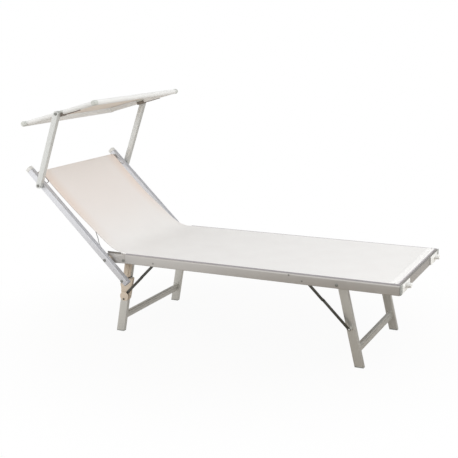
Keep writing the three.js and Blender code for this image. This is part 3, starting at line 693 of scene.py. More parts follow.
add_pair(
    back_rail, "backrest_rail_bar", BACK, anodised_back_painted_lighter, "backrest", "anodised_aluminium",
    "backrest_rail",
)


def rail_plug(start, reach, dome):
    """A moulded plug for a rail end: a short bar whose outer rim is rounded right over."""
    low, high = sorted((start, start + reach))
    bm = drawn_bar(
        "X", low, high, box_corners(BACK_INNER, BACK_LOW, BACK_OUTER, BACK_TOP),
        [(BACK_CORNER, (0, 1, 2, 3))], rim=0,
    )
    end = start + reach
    rim = [
        edge for edge in bm.edges
        if all(abs(vert.co.x - end) < 0.01 for vert in edge.verts)
    ]
    soften(bm, rim, dome, 6)
    return bm


add_pair(
    lambda: rail_plug(-BACK_ABOVE - PLUG_GAP, -17.4, 11), "backrest_top_plug", BACK,
    white_plastic, "backrest", "white_plastic", "backrest_top_cap",
)
add_pair(
    lambda: rail_plug(BACK_BELOW + PLUG_GAP, 11.4, 8), "backrest_bottom_plug", BACK,
    plug_grey, "backrest", "grey_plastic", "backrest_bottom_cap",
)
bar_end = BACK_INNER - CLEARANCE
add_piece(
    rod("Y", HEAD_BAR_RADIUS, -bar_end, bar_end, -HEAD_BAR[0], HEAD_BAR[1]),
    "head_crossbar_tube", BACK, anodised, "backrest",
    ["head_crossbar"], "Y",
)
print("backrest rails from", -BACK_ABOVE, "to", BACK_BELOW)

# %% [markdown]
# ## Fabric finishes
#
# The sling is a mesh of PVC-coated polyester threads, a millimetre and a half thick. The canopy
# is a plain woven acrylic, white above. Its underside takes a warmer copy of the cloth, which
# paints the warm light bounced up from the floor. Both patterns follow the cloth, so they read
# its UV map, which holds real metres across and along the cut cloth.

# %% Fabrics
SLING_THREAD = 2.2
CANOPY_THREAD = 1.6
CLOUDS_PER_METRE = 9.0
FOOT_HEM, SIDE_HEM = 44, 24
WARM_INNER, WARM_OUTER = 215, 300
WARM_FROM, WARMING_RUN = 1250, 400


def cloth_place(tree):
    """The cloth's own UV map in metres, with its two directions."""
    cloth = add_node(tree, "ShaderNodeUVMap", uv_map="cloth")
    parts = add_node(tree, "ShaderNodeSeparateXYZ", {0: cloth.outputs[0]})
    return cloth.outputs[0], parts.outputs["X"], parts.outputs["Y"]


def woven(name, colour, shade, roughness, thread, depth):
    """A plain weave over the cloth's own UV map, in metres."""
    material, tree, shader = start_material(name, colour, roughness)
    place, across, along = cloth_place(tree)
    waves = []
    for direction in (across, along):
        turns = add_node(tree, "ShaderNodeMath", {
            0: direction, 1: pi / (thread * MM),
        }, operation="MULTIPLY")
        waves.append(add_node(tree, "ShaderNodeMath", {
            0: turns.outputs[0],
        }, operation="SINE").outputs[0])
    weave = add_node(tree, "ShaderNodeMath", {0: waves[0], 1: waves[1]}, operation="MULTIPLY")
    clouds = add_node(tree, "ShaderNodeTexNoise", {
        "Vector": place, "Scale": CLOUDS_PER_METRE, "Detail": 3.0,
    })
    colours = dress(
        tree, shader, clouds.outputs[0], shade, colour, weave.outputs[0], WEAVE_BUMP, depth,
    )
    return material, tree, shader, colours


def light_hem(tree, colours, hem, reach):
    """The doubled cloth of a hem at the start of the panel, which lets less light through."""
    along = cloth_place(tree)[2]
    share = add_node(tree, "ShaderNodeMapRange", {
        "Value": along, "From Min": reach * MM, "From Max": (reach + 1) * MM,
        "To Min": 1.0, "To Max": 0.0,
    })
    lighter = add_node(tree, "ShaderNodeMix", {
        "Factor": share.outputs[0], 6: colours, 7: linear(hem),
    }, data_type="RGBA")
    return lighter.outputs[2]


def paint_warm_light(tree, shader, colours, tint, edge_tint):
    """Paints warm light on the cloth past a distance along it, and more so towards its long edges.
    """
    across, along = cloth_place(tree)[1:]
    out = add_node(tree, "ShaderNodeMath", {0: across}, operation="ABSOLUTE")
    edge = add_node(tree, "ShaderNodeMapRange", {
        "Value": out.outputs[0], "From Min": WARM_INNER * MM, "From Max": WARM_OUTER * MM,
    }, interpolation_type="SMOOTHSTEP")
    up = add_node(tree, "ShaderNodeMapRange", {
        "Value": along, "From Min": WARM_FROM * MM,
        "From Max": (WARM_FROM + WARMING_RUN) * MM,
    }, interpolation_type="SMOOTHSTEP")
    warm = add_node(tree, "ShaderNodeMix", {
        "Factor": edge.outputs[0], 6: linear(tint), 7: linear(edge_tint),
    }, data_type="RGBA")
    whole = add_node(tree, "ShaderNodeMix", {
        "Factor": up.outputs[0], 6: colours, 7: warm.outputs[2],
    }, data_type="RGBA")
    tree.links.new(whole.outputs[2], shader.inputs["Base Color"])


sling_mesh, tree, shader, colours = woven(
    "woven_pvc_polyester_mesh", "#F4F3F1", "#EDEBE9", 0.6, SLING_THREAD, 0.25,
)
colours = light_hem(tree, colours, "#F8F7F5", FOOT_HEM)
# The backrest's warmer tone is painted light, warmest towards its edges.
paint_warm_light(tree, shader, colours, "#F2ECE8", "#EFE1D7")
canopy_acrylic, canopy_underside_painted_light = (
    woven(name, colour, shade, 0.85, CANOPY_THREAD, 0.12)[0]
    for name, colour, shade in (
        ("woven_canopy_acrylic", "#F4F4F2", "#ECECEA"),
        ("woven_canopy_underside_painted_light", "#F7EFE5", "#EFE5DA"),
    )
)
print("fabrics:", sling_mesh.name, canopy_acrylic.name)

# %% [markdown]
# ## Cloth from its cut shape
#
# Cloth is easiest to get right flat, as the sewer does: the panel is cut, its hems are folded,
# and then it is hung. So each sheet starts as a flat grid in millimetres, with its hems and
# its thickness, and one function then lays every point on the line that the cloth follows.

# %% Lines that cloth follows
SLEEVE_STEPS = 27


class Course:
    """A line in X and Z that tells the place and the upright at any distance along it."""

    def __init__(self, points, upward=1):
        self.points = [Vector(point) for point in points]
        self.upward = upward
        self.marks = [0.0]
        for before, after in zip(self.points, self.points[1:]):
            self.marks.append(self.marks[-1] + (after - before).length)
        self.length = self.marks[-1]

    def at(self, distance):
        """The point there, and the direction square to the line."""
        inner = min(max(distance, 0.0), self.length)
        index = 0
        while index < len(self.marks) - 2 and self.marks[index + 1] < inner:
            index += 1
        share = (inner - self.marks[index]) / (self.marks[index + 1] - self.marks[index])
        point = self.points[index].lerp(self.points[index + 1], share)
        slopes = [
            (self.points[min(place + 1, len(self.points) - 1)]
             - self.points[max(place - 1, 0)]).normalized()
            for place in (index, index + 1)
        ]
        along = slopes[0].lerp(slopes[1], share).normalized()
        return point, Vector((-along.y, along.x)) * self.upward


def smooth_line(points, steps):
    """A smooth curve through points, with a few steps between each two."""
    line = []
    padded = [points[0], *points, points[-1]]
    for a, b, c, d in zip(padded, padded[1:], padded[2:], padded[3:]):
        a, b, c, d = (Vector(point) for point in (a, b, c, d))
        for step in range(steps):
            t = step / steps
            line.append(0.5 * (
                2 * b + (c - a) * t + (2 * a - 5 * b + 4 * c - d) * t * t
                + (3 * b - a - 3 * c + d) * t ** 3
            ))
    line.append(Vector(points[-1]))
    return line


def sleeve(centre, radius, toward, flange, drop):
    """Round a bar and back under the cloth: from the top, over, under, up, and a sewn flange."""
    angles = [pi / 2 - 1.5 * pi * step / SLEEVE_STEPS for step in range(1, SLEEVE_STEPS + 1)]
    line = [(radius * cos(angle), radius * sin(angle)) for angle in angles]
    for inward, rise in ((0.8, 0.55), (3.5, 0.9), (7, 1), (7 + flange, 1)):
        line.append((-radius - inward, (radius - drop) * rise))
    return [Vector((centre[0] + toward * out, centre[1] + up)) for out, up in line]


def flat_cloth(left, right, low, high, cell, cuts_x=(), cuts_y=()):
    """A flat grid in millimetres, with more edges where a fold or a hem needs them."""
    bm = bmesh.new()
    bmesh.ops.create_grid(
        bm, x_segments=round((right - left) / cell), y_segments=round((high - low) / cell),
        size=0.5,
    )
    bmesh.ops.scale(bm, vec=(right - left, high - low, 1), verts=bm.verts[:])
    bmesh.ops.translate(bm, vec=((left + right) / 2, (low + high) / 2, 0), verts=bm.verts[:])
    planes = [((x, 0, 0), (1, 0, 0)) for x in cuts_x]
    planes += [((0, y, 0), (0, 1, 0)) for y in cuts_y]
    for place, normal in planes:
        bmesh.ops.bisect_plane(
            bm, geom=bm.verts[:] + bm.edges[:] + bm.faces[:], plane_co=place, plane_no=normal,
            dist=0.05,
        )
    return bm


def make_panel(bm, is_cut_out, thickness, width_share=None):
    """Cuts a flat panel out, thickens it and maps it. Gives its flat area in square metres."""
    cut = []
    for face in bm.faces:
        middle = face.calc_center_median()
        if is_cut_out(abs(middle.x), abs(middle.y)):
            cut.append(face)
    bmesh.ops.delete(bm, geom=cut, context="FACES")
    if width_share:
        for vert in bm.verts:
            vert.co.x *= width_share(vert.co.y)
    area = sum(face.calc_area() for face in bm.faces) * MM * MM
    bmesh.ops.recalc_face_normals(bm, faces=bm.faces[:])
    bmesh.ops.solidify(bm, geom=bm.faces[:], thickness=thickness)
    heights = [vert.co.z for vert in bm.verts]
    middle = (min(heights) + max(heights)) / 2
    bmesh.ops.translate(bm, vec=(0, 0, -middle), verts=bm.verts[:])
    layer = bm.loops.layers.uv.new("cloth")
    for face in bm.faces:
        for loop in face.loops:
            loop[layer].uv = (loop.vert.co.x * MM, loop.vert.co.y * MM)
    return area


# %% [markdown]
# ## The sling
#
# One length of mesh makes the seat and the back. Its foot end is held in the crossbar's
# channel, its long edges in the rails' channels, and past the rails it hangs free over the
# hinge and rises to the head crossbar, where it ends in a sewn sleeve. Where the backrest
# turns, the cloth bends over the hinge; the whole sling is one piece drawn in place, on no body.

# %% The sling
SLING_LEVEL = 388.3
SLING_THICKNESS = 1.6
HEM_THICKNESS = 2.6
BACK_HALF = 306
SLEEVE_RADIUS = 12.2
SLING_SAG = 3.1
WAIST = 4
FREE_RUN = 45
FOOT_FOLD, SAG_RUN = 10, 60
SLOT_MIDDLE = 312.4


def on_back(reach, rise):
    """A point given up the backrest and off its pivot line, in the seat's own X and Z."""
    turn = radians(BACK_ANGLE)
    return (
        PIVOT[0] - reach * cos(turn) + rise * sin(turn),
        PIVOT[1] + reach * sin(turn) + rise * cos(turn),
    )


# Over the rail's shelf and down into its slot, as distance from the middle and rise
side_course = Course([
    (0, 0), (RAIL_INNER, 0), (309.4, 0.9), (310.9, 0.8), (312.0, 0), (SLOT_MIDDLE, -1.4),
    (SLOT_MIDDLE, -6),
])
SEAT_HALF = side_course.length
slot_middle = FOOT_INSET + SLOT_MIDDLE
foot_dive = [
    (slot_middle + across, SLING_LEVEL + rise)
    for across, rise in ((0, -5), (0, -1), (-0.4, 0.3), (-1.3, 0.9), (-2.7, 1.0))
]
foot_run = smooth_line([(1233, SLING_LEVEL + 0.2), (1200, SLING_LEVEL), (900, SLING_LEVEL)], 6)
climb = smooth_line([
    (420, SLING_LEVEL), (60, SLING_LEVEL), (0, SLING_LEVEL + 0.1), (-24, 390.3),
    on_back(0, 51), on_back(30, 39.8), on_back(85, 31.6), on_back(160, 25.6), on_back(258, 17.7),
    on_back(388, 14.2), on_back(500, 16.0),
], 8)
sling_sleeve = [
    on_back(-point.x, point.y)
    for point in sleeve((-HEAD_BAR[0], HEAD_BAR[1]), SLEEVE_RADIUS, -1, 16, 2.4)
]
over_bar = on_back(HEAD_BAR[0], HEAD_BAR[1] + SLEEVE_RADIUS)
sling_course = Course(foot_dive + foot_run + climb + [over_bar] + sling_sleeve, upward=-1)
RAIL_RUN = slot_middle + 6
sleeve_starts = sling_course.length - Course(sling_sleeve).length
print("sling length", round(sling_course.length), "mm")


def is_free(distance):
    """0 where the rails hold the sling's edges, and 1 where they hang free."""
    share = ramp(distance, RAIL_RUN, FREE_RUN)
    return share * share * (3 - 2 * share)


def half_width(distance):
    return SEAT_HALF + (BACK_HALF - SEAT_HALF) * is_free(distance)


edge_cuts = [SEAT_HALF - inset for inset in (2, 4, 5.4, 6.8, 8, 9.4, 11, 20.6)]
hem_cuts = [SEAT_HALF - inset for inset in (SIDE_HEM + 1.6, SIDE_HEM + 2.8)]
bm = flat_cloth(
    -SEAT_HALF, SEAT_HALF, 0, sling_course.length, 9.5,
    cuts_x=either_way(edge_cuts + hem_cuts),
    cuts_y=[
        4, 5.2, 6.6, 8, 10.8, FOOT_HEM, FOOT_HEM + 1.2,
        *(sleeve_starts - 4 + step * 2.4 for step in range(34)),
    ],
)


def is_foot_corner(across, along):
    """True where the two slots meet."""
    return (across > SEAT_HALF - 9.4 and along < 8) or (across > RAIL_INNER - 2 and along < 4)


sling_area = make_panel(
    bm, is_foot_corner, SLING_THICKNESS, lambda along: half_width(along) / SEAT_HALF,
)
for vert in bm.verts:
    across, distance, height = vert.co
    side = 1 if across >= 0 else -1
    edge = abs(across) / half_width(distance)
    free = is_free(distance)
    climbed = ramp(distance, RAIL_RUN, sleeve_starts - RAIL_RUN)
    on_side_hem = edge > (SEAT_HALF - SIDE_HEM - 2) / SEAT_HALF and free > 0.6
    on_foot_hem = FOOT_HEM + 0.6 > distance > FOOT_FOLD
    if on_foot_hem or (on_side_hem and distance <= sleeve_starts - 6):
        height *= HEM_THICKNESS / SLING_THICKNESS
    point, upward = sling_course.at(distance)
    held, square = side_course.at(edge * SEAT_HALF)
    waist = WAIST * sin(pi * climbed) ** 2
    out = held.x * (1 - free) + (edge * BACK_HALF - waist * edge) * free
    slack = (1 - min(out / RAIL_INNER, 1.0) ** 2) * ramp(distance, FOOT_FOLD, SAG_RUN)
    lift = held.y * (1 - free) - SLING_SAG * slack * (1 - climbed) ** 2
    out += height * square.x * (1 - free)
    lift += height * (square.y * (1 - free) + free)
    point = point + upward * lift
    vert.co = (point.x, side * out, point.y)
sling = add_piece(
    bm, "seat_and_back_sling", SEAT, sling_mesh, None,
    ["seat_sling", "back_sling"],
)


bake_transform(sling)
print("sling area", round(sling_area, 4), "square metres")

# %% [markdown]
# ## Painted shade at the sling's top corners
#
# Below the sleeve a short dark brown cord runs along each edge of the cloth and paints the
# shade of the hem there, and its end is drawn to the rail as a small strap.

# %% Painted shade at the corners
def add_line(name, radius, points, *details):
    """A thin line on both sides of the backrest, by points up the rail, off it and across."""
    line = [(x, across, z) for x, z, across in points]
    add_pair(lambda: bent_tube(radius, line), name, BACK, *details)


CORNER_CORD_RADIUS = 1.5
corner_cord_points = [
    (-518, 16.6, 307.2), (-497, 16.0, 307.0), (-476, 15.6, 306.8), (-466, 15.2, 307.8),
    (-461, 14.6, 312), (-459, 13.8, 321), (-458, 13, 331.2),
]
add_line(
    "corner_shade_cord", CORNER_CORD_RADIUS, corner_cord_points, painted_shade_cord, "backrest", "dark_plastic",
)
print("binding radius", CORNER_CORD_RADIUS)

# %% [markdown]
# ## The canopy cloth
#
# The canopy is one panel of cloth with a sleeve along each of its four edges. The corners are
# notched out so that the elbows stay free, and the sleeves along the side bars stop at the
# clamps. The cut shape is drawn flat, its notches are deleted, and the whole is laid over the
# four bars, a little slack in the middle.

# %% The canopy cloth
CANOPY_HALF = 200
SIDE_BAR = 347
CLOTH_THICKNESS = 1.2
FRONT_SLEEVE_RADIUS = 11.2
SIDE_SLEEVE_RADIUS = 10.2
CLOTH_HEM = 346
CLAMP_GAP = 21
ELBOW_GAP = 190.5
CANOPY_SAG = 7


def over_bars(half, radius, flange, level):
    """The line from sleeve to sleeve over two bars, with the level points between them."""
    start, end = (sleeve((side * half, 0), radius, side, flange, 2) for side in (-1, 1))
    return Course([*reversed(start), *((x, radius + rise) for x, rise in level), *end])


long_course = over_bars(
    CANOPY_HALF, FRONT_SLEEVE_RADIUS, 14, [(-CANOPY_HALF, 0), (0, 0), (CANOPY_HALF, 0)],
)
shoulder = SIDE_BAR - 24
wide_course = over_bars(SIDE_BAR, SIDE_SLEEVE_RADIUS, 12, [
    (-SIDE_BAR, 0), (-shoulder, 0.9), (0, 1), (shoulder, 0.9), (SIDE_BAR, 0),
])
long_half, wide_half = long_course.length / 2, wide_course.length / 2

fold_steps = [2.6 * step for step in range(32)]
bm = flat_cloth(
    -long_half, long_half, -wide_half, wide_half, 10,
    cuts_x=(
        either_way([CLAMP_GAP, ELBOW_GAP])
        + either_way(CANOPY_HALF + step for step in fold_steps)
    ),
    cuts_y=either_way([CLOTH_HEM]) + either_way(SIDE_BAR + step for step in fold_steps),
)


def is_notch(along, across):
    """True for the parts of the panel that are cut out at the corners and the clamps."""
    return across > CLOTH_HEM and (along < CLAMP_GAP or along > ELBOW_GAP)


canopy_area = make_panel(bm, is_notch, CLOTH_THICKNESS)
# The faces underneath take the second material, whose warmer tone paints the light bounced up
# under the canopy.
for face in bm.faces:
    face.material_index = int(face.calc_center_median().z < -0.1)
for vert in bm.verts:
    along, across, height = vert.co
    edge, upward = wide_course.at(across + wide_half)
    if abs(across) > SIDE_BAR:
        edge = edge + upward * height
        vert.co = (along, edge.x, edge.y)
    elif abs(along) > CANOPY_HALF:
        edge, upward = long_course.at(along + long_half)
        edge = edge + upward * height
        vert.co = (edge.x, across, edge.y)
    else:
        slack = (1 - (along / CANOPY_HALF) ** 2) * (1 - (across / SIDE_BAR) ** 2)
        vert.co = (along, across, edge.y + height - CANOPY_SAG * slack)
cloth = add_piece(
    bm, "canopy_cloth", CANOPY, canopy_acrylic, "canopy_panel",
    ["canopy_fabric"],
)
cloth.data.materials.append(canopy_underside_painted_light)
print("canopy cloth", round(canopy_area, 4), "square metres")

# %% [markdown]
# ## Foot end corners
#
# A moulded fitting closes each corner of the seat frame. A plate caps the open end of the side
# rail, drawn in grey to paint the shade on that end of the white fitting; a white plate runs
# on along the crossbar, and a soft round bumper stands on it, because the lounger is stood on
# end when it is stored.

# %% Foot end corners
FITTING_START, FITTING_END = 1258.3, 1262.3
CAP_INNER = 294
PLATE_TOP = 383
FITTING_REACH = 180
BUMPER_ACROSS, BUMPER_UP = 244, 371
BUMPER_RADIUS, BUMPER_TIP = 11, 1285.3


def rail_end_cap():
    corners = box_corners(CAP_INNER, RAIL_LOW, RAIL_OUTER, RAIL_TOP)
    return drawn_bar(
        "X", FITTING_START, FITTING_END, corners, [(11, (1,)), (8, (0,)), (3, (2,)), (1, (3,))],
        rim=1.2,
    )


def corner_plate():
    corners = box_corners(FITTING_REACH, RAIL_LOW + 0.5, CAP_INNER - 0.5, PLATE_TOP)
    plate = drawn_bar("X", FITTING_START, FITTING_END, corners, [(5, (0, 3))], rim=1.4)
    rib = drawn_bar(
        "X", FITTING_END - 1, FITTING_END + 1.6,
        box_corners(FITTING_REACH + 12, BUMPER_UP - 5, CAP_INNER - 6, BUMPER_UP + 5),
        [(4, (0, 1, 2, 3))], rim=1,
    )
    return merged(plate, rib)


def bumper():
    profile = [
        (0, FITTING_END - 1), (BUMPER_RADIUS + 1.6, FITTING_END - 1),
        (BUMPER_RADIUS + 1.6, FITTING_END + 2.5), (BUMPER_RADIUS - 1, FITTING_END + 3.5),
        (BUMPER_RADIUS, FITTING_END + 6), (BUMPER_RADIUS, BUMPER_TIP - 4),
        (BUMPER_RADIUS - 1.2, BUMPER_TIP - 1.2), (BUMPER_RADIUS - 4, BUMPER_TIP),
        (5, BUMPER_TIP), (4, BUMPER_TIP - 1.5), (0, BUMPER_TIP - 1.5),
    ]
    return turned("X", profile, BUMPER_ACROSS, BUMPER_UP, rim=0.5)


add_pair(
    corner_plate, "corner_plate", SEAT, white_plastic, "frame", "white_plastic",
    "corner_fitting", "Y",
)
# The end cap is white plastic like the fitting; its grey paints the shade on the rail's end.
add_pair(
    rail_end_cap, "rail_end_cap", SEAT, grey_plastic, "frame", "white_plastic", grain="Y",
)
add_pair(bumper, "bumper", SEAT, white_plastic, "frame", "white_plastic")
print("bumpers reach", BUMPER_TIP, "mm")

# %% [markdown]
# ## Hinge brackets
#
# The backrest turns on a bracket that is pushed into the head end of each side rail. It is a
# thick cheek, flush with the rail and round at the pivot. A thin dark strip along the inner
# edge of its top paints the shade that the sling's edge casts there. A nylon washer keeps the
# backrest rail off it, and a boss on its inner side carries the rear leg.

# %% Hinge brackets
BRACKET_INNER, BRACKET_OUTER = 304, 324.6
BRACKET_RADIUS = 20
BRACKET_GAP = 0.8
TOP_STRIP_SIDE, TOP_STRIP_END = (306, 309.5), -32
WASHER_RADIUS = 15
BOLT_BORE, COLLAR_RADIUS = 4.4, 9
LEG_INNER, LEG_OUTER = 250, 270


def hinge_bracket():
    x, z = PIVOT
    cheek = drawn_bar(
        "Y", BRACKET_INNER, BRACKET_OUTER,
        [(x - BRACKET_RADIUS, z - BRACKET_RADIUS), (-BRACKET_GAP, RAIL_LOW + 0.5),
         (-BRACKET_GAP, LIP_TOP - 0.2), (x - BRACKET_RADIUS, LIP_TOP - 0.2)],
        [(BRACKET_RADIUS - 0.5, (0, 3)), (0.5, (1, 2))], rim=3.6, rim_segments=3,
    )
    boss = rod(
        "Y", COLLAR_RADIUS, LEG_OUTER + CLEARANCE, BRACKET_INNER + 0.5, *REAR_LEG_PIVOT,
        rim=0.6, bore=BOLT_BORE,
    )
    return merged(cheek, boss)


def bracket_shade_strip():
    return drawn_bar(
        "X", PIVOT[0] - 14, TOP_STRIP_END,
        box_corners(TOP_STRIP_SIDE[0], LIP_TOP - 3, TOP_STRIP_SIDE[1], STRIP_TOP),
        [(1.2, (2, 3))], rim=0.8,
    )


def pivot_washer():
    profile = [
        (BOLT_BORE, BRACKET_OUTER), (WASHER_RADIUS, BRACKET_OUTER),
        (WASHER_RADIUS, BRACKET_OUTER + 4.5), (WASHER_RADIUS - 1.5, BRACKET_OUTER + 5),
        (WASHER_RADIUS, BRACKET_OUTER + 5.5), (WASHER_RADIUS, BACK_INNER - CLEARANCE),
        (BOLT_BORE, BACK_INNER - CLEARANCE), (BOLT_BORE, BRACKET_OUTER),
    ]
    return turned("Y", profile, *PIVOT, rim=0.5)


add_pair(
    hinge_bracket, "hinge_cheek", SEAT, anodised, "frame", "dark_plastic", "hinge_bracket",
)
# A dark strip on each bracket's top paints the shade under the sling's edge.
add_pair(bracket_shade_strip, "hinge_shade_strip", SEAT, dark_plastic, "frame", "dark_plastic")
add_pair(pivot_washer, "pivot_washer", SEAT, tan_nylon, "frame", "dark_plastic")
print("bracket radius", BRACKET_RADIUS)

# %% [markdown]
# ## Bolts
#
# All the joints turn on zinc plated bolts with a low domed head and a socket, and the legs'
# bolts have a nut inside. The socket's six sides are smaller than can be seen, so it is turned
# with the head as a round recess.

# %% Bolts
HEAD_RADIUS, HEAD_HEIGHT = 7, 3.2
NUT_RADIUS, NUT_HEIGHT = 7.5, 4
SHANK = 4
LATCH_REACH, LATCH_DROP, PIN_TIP = 124, 3, 274
UPPER_BOLT_TIP = 356.5


def bolt(inner, face, across, up, nut=False):
    """A bolt along Y with its head just off an outer face, and a nut inside if asked."""
    outer = face + CLEARANCE
    profile = [
        (0, inner), (SHANK, inner), (SHANK, outer), (HEAD_RADIUS, outer),
        (HEAD_RADIUS, outer + 1.2), (HEAD_RADIUS - 1, outer + 2.4),
        (HEAD_RADIUS - 2.6, outer + HEAD_HEIGHT), (2.6, outer + HEAD_HEIGHT),
        (2.4, outer + 1.4), (0, outer + 1.4),
    ]
    whole = turned("Y", profile, across, up, rim=0.25)
    if not nut:
        return whole
    hexagon = [
        (across + NUT_RADIUS * cos(pi * turn / 3), up + NUT_RADIUS * sin(pi * turn / 3))
        for turn in range(6)
    ]
    tip = [(0, inner - 1.5), (SHANK - 0.4, inner - 1.5), (SHANK, inner + 0.2), (0, inner + 0.2)]
    return merged(
        whole, drawn_bar("Y", inner, inner + NUT_HEIGHT - CLEARANCE, hexagon, rim=0.5),
        turned("Y", tip, across, up, rim=0),
    )


def add_bolts(name, place, body, *measures, **options):
    add_pair(
        lambda: bolt(*measures, **options), f"{name}_screw", place, zinc, body, "zinc_steel",
        name, "Y",
    )


BOLT_SEAT = LEG_INNER - NUT_HEIGHT
ARM_INNER, ARM_OUTER = 361.5, 382.5


def front_leg_screw():
    spacer = rod(
        "Y", COLLAR_RADIUS, LEG_OUTER + CLEARANCE, RAIL_INNER - CLEARANCE, *FRONT_LEG_PIVOT,
        rim=0.5, bore=BOLT_BORE,
    )
    return merged(bolt(BOLT_SEAT, RAIL_OUTER, *FRONT_LEG_PIVOT, nut=True), spacer)


add_pair(
    front_leg_screw, "front_leg_screw", SEAT, zinc, "frame", "zinc_steel", "front_leg_bolt", "Y",
)
add_bolts("rear_leg_bolt", SEAT, "frame", BOLT_SEAT, BRACKET_OUTER, *REAR_LEG_PIVOT, nut=True)
add_bolts("latch_pin", BACK, "backrest", PIN_TIP, BACK_OUTER, LATCH_REACH, -LATCH_DROP)
add_bolts("backrest_pivot_bolt", BACK, "backrest", BRACKET_INNER, BACK_OUTER, 0, 0)
add_bolts("arm_lower_bolt", ARM, "canopy_arms", BACK_INNER + 2.5, ARM_OUTER, 0, 0)
add_bolts("arm_upper_bolt", ARM, "canopy_arms", UPPER_BOLT_TIP, ARM_OUTER, 0, ARM_LENGTH)
print("bolt heads", 2 * HEAD_RADIUS, "mm across")

# %% [markdown]
# ## Canopy arms
#
# Each arm is a flattened aluminium tube with round ends. Its long edges are well rounded, so
# it shows one broad bright face and a narrow grey one.

# %% Canopy arms
ARM_HALF = 12.5


def canopy_arm():
    corners = box_corners(-ARM_HALF, -ARM_HALF, ARM_HALF, ARM_LENGTH + ARM_HALF)
    return drawn_bar(
        "Y", ARM_INNER, ARM_OUTER, corners, [(ARM_HALF - 0.02, (0, 1, 2, 3))], rim=2.2,
        rim_segments=4,
    )


add_pair(
    canopy_arm, "canopy_arm_tube", ARM, tube_painted_lighter, "canopy_arms", "bright_aluminium",
    "canopy_arm", "Z",
)
print("canopy arms", ARM_LENGTH, "mm between their bolts")

# %% [markdown]
# ## Canopy bars, elbows and clamps
#
# Four thin tubes make the canopy's frame. Moulded elbows join them at the corners with their
# rounded ends showing, and a split block on each side clamps the side bar so that the canopy
# can be tilted and stays where it is put.

# %% Canopy bars, elbows and clamps
SIDE_BAR_RADIUS, CROSS_BAR_RADIUS = 9, 10
ELBOW_INNER, ELBOW_OUTER = 331, 374
ELBOW_RADIUS, ELBOW_BOSS = 12, 9.3
NECK_RADIUS, BOSS_RADIUS = 10.2, 9.5
CLAMP_INNER, CLAMP_OUTER = 334, 361.2
CLAMP_HALF, CLAMP_LOW, CLAMP_HIGH = 20, -15, 10.8
SIDE_REACH = CANOPY_HALF - ELBOW_BOSS - CLEARANCE
CROSS_REACH = ELBOW_INNER - CLEARANCE
CANOPY_ENDS = {"front": 1, "rear": -1}
CANOPY_CORD_RADIUS, CANOPY_CORD_END = 2.1, 112

add_pair(
    lambda: rod("X", SIDE_BAR_RADIUS, -SIDE_REACH, SIDE_REACH, SIDE_BAR),
    "canopy_side_tube", CANOPY, tube_painted_lighter, "canopy_panel", "bright_aluminium",
    "canopy_side_bar",
)
for name, end in CANOPY_ENDS.items():
    add_piece(
        rod("Y", CROSS_BAR_RADIUS, -CROSS_REACH, CROSS_REACH, end * CANOPY_HALF),
        f"canopy_{name}_tube", CANOPY, tube_painted_lighter, "canopy_panel",
        [f"canopy_{name}_bar"], "Y",
    )


def elbow(end):
    head = turned("Y", [
        (0, ELBOW_INNER), (NECK_RADIUS, ELBOW_INNER), (NECK_RADIUS, CLOTH_HEM + 0.6),
        (ELBOW_RADIUS, CLOTH_HEM + 1.6), (ELBOW_RADIUS, ELBOW_OUTER - 6),
        (ELBOW_RADIUS - 1.2, ELBOW_OUTER - 2.4), (ELBOW_RADIUS - 4, ELBOW_OUTER - 0.4),
        (0, ELBOW_OUTER),
    ], end * CANOPY_HALF, 0, rim=0)
    inner = CANOPY_HALF - ELBOW_BOSS + 0.4
    boss = rod("X", BOSS_RADIUS, end * inner, end * CANOPY_HALF, SIDE_BAR, rim=0.3)
    return merged(head, boss)


for name, end in CANOPY_ENDS.items():
    add_pair(
        lambda: elbow(end), f"{name}_elbow", CANOPY, pale_plastic, "canopy_panel",
        "grey_plastic", f"canopy_{name}_elbow",
    )


def clamp_block():
    jaw = drawn_bar(
        "Y", CLAMP_INNER, CLAMP_OUTER, box_corners(-CLAMP_HALF, CLAMP_LOW, CLAMP_HALF, -0.6),
        [(4, (0, 1)), (0.8, (2, 3))], rim=1.6, rim_segments=3,
    )
    core = drawn_bar(
        "Y", CLAMP_INNER + 2, CLAMP_OUTER - 2, box_corners(2 - CLAMP_HALF, -2, CLAMP_HALF - 2, 2),
        rim=0.4,
    )
    return merged(jaw, core)


def clamp_cap():
    return drawn_bar(
        "Y", CLAMP_INNER, CLAMP_OUTER, box_corners(-CLAMP_HALF, 0.6, CLAMP_HALF, CLAMP_HIGH),
        [(3, (2, 3)), (0.8, (0, 1))], rim=1.6, rim_segments=3,
    )


# The lower block is drawn warm grey and the cap pale; the darker block paints the shade below the
# cap.
add_pair(
    clamp_block, "canopy_clamp_block", CANOPY, clamp_painted_shade_grey, "canopy_panel", "dark_plastic",
    "canopy_clamp",
)
add_pair(clamp_cap, "canopy_clamp_cap", CANOPY, pale_plastic, "canopy_panel", "grey_plastic")
# A dark brown cord under each side sleeve, from the clamp towards the front, paints the shadow
# line between the sleeve and the underside.
add_pair(
    lambda: bent_tube(CANOPY_CORD_RADIUS, [
        (CLAMP_HALF + 2, SIDE_BAR + 2, -11.2), (60, SIDE_BAR + 2, -11.4),
        (CANOPY_CORD_END, SIDE_BAR + 2, -11.2),
    ]),
    "canopy_shade_cord", CANOPY, painted_shade_cord, "canopy_panel", "dark_plastic",
)
print("canopy bars", 2 * SIDE_BAR_RADIUS, "and", 2 * CROSS_BAR_RADIUS, "mm")

# %% [markdown]
# ## Leg frames
#
# The legs are rectangular tube with well rounded edges. Each pair leans out, is joined under
# the rails by a round tube and lower down by a flat stretcher, and turns on a bolt at its top,
# where the tube is cut to a half circle.

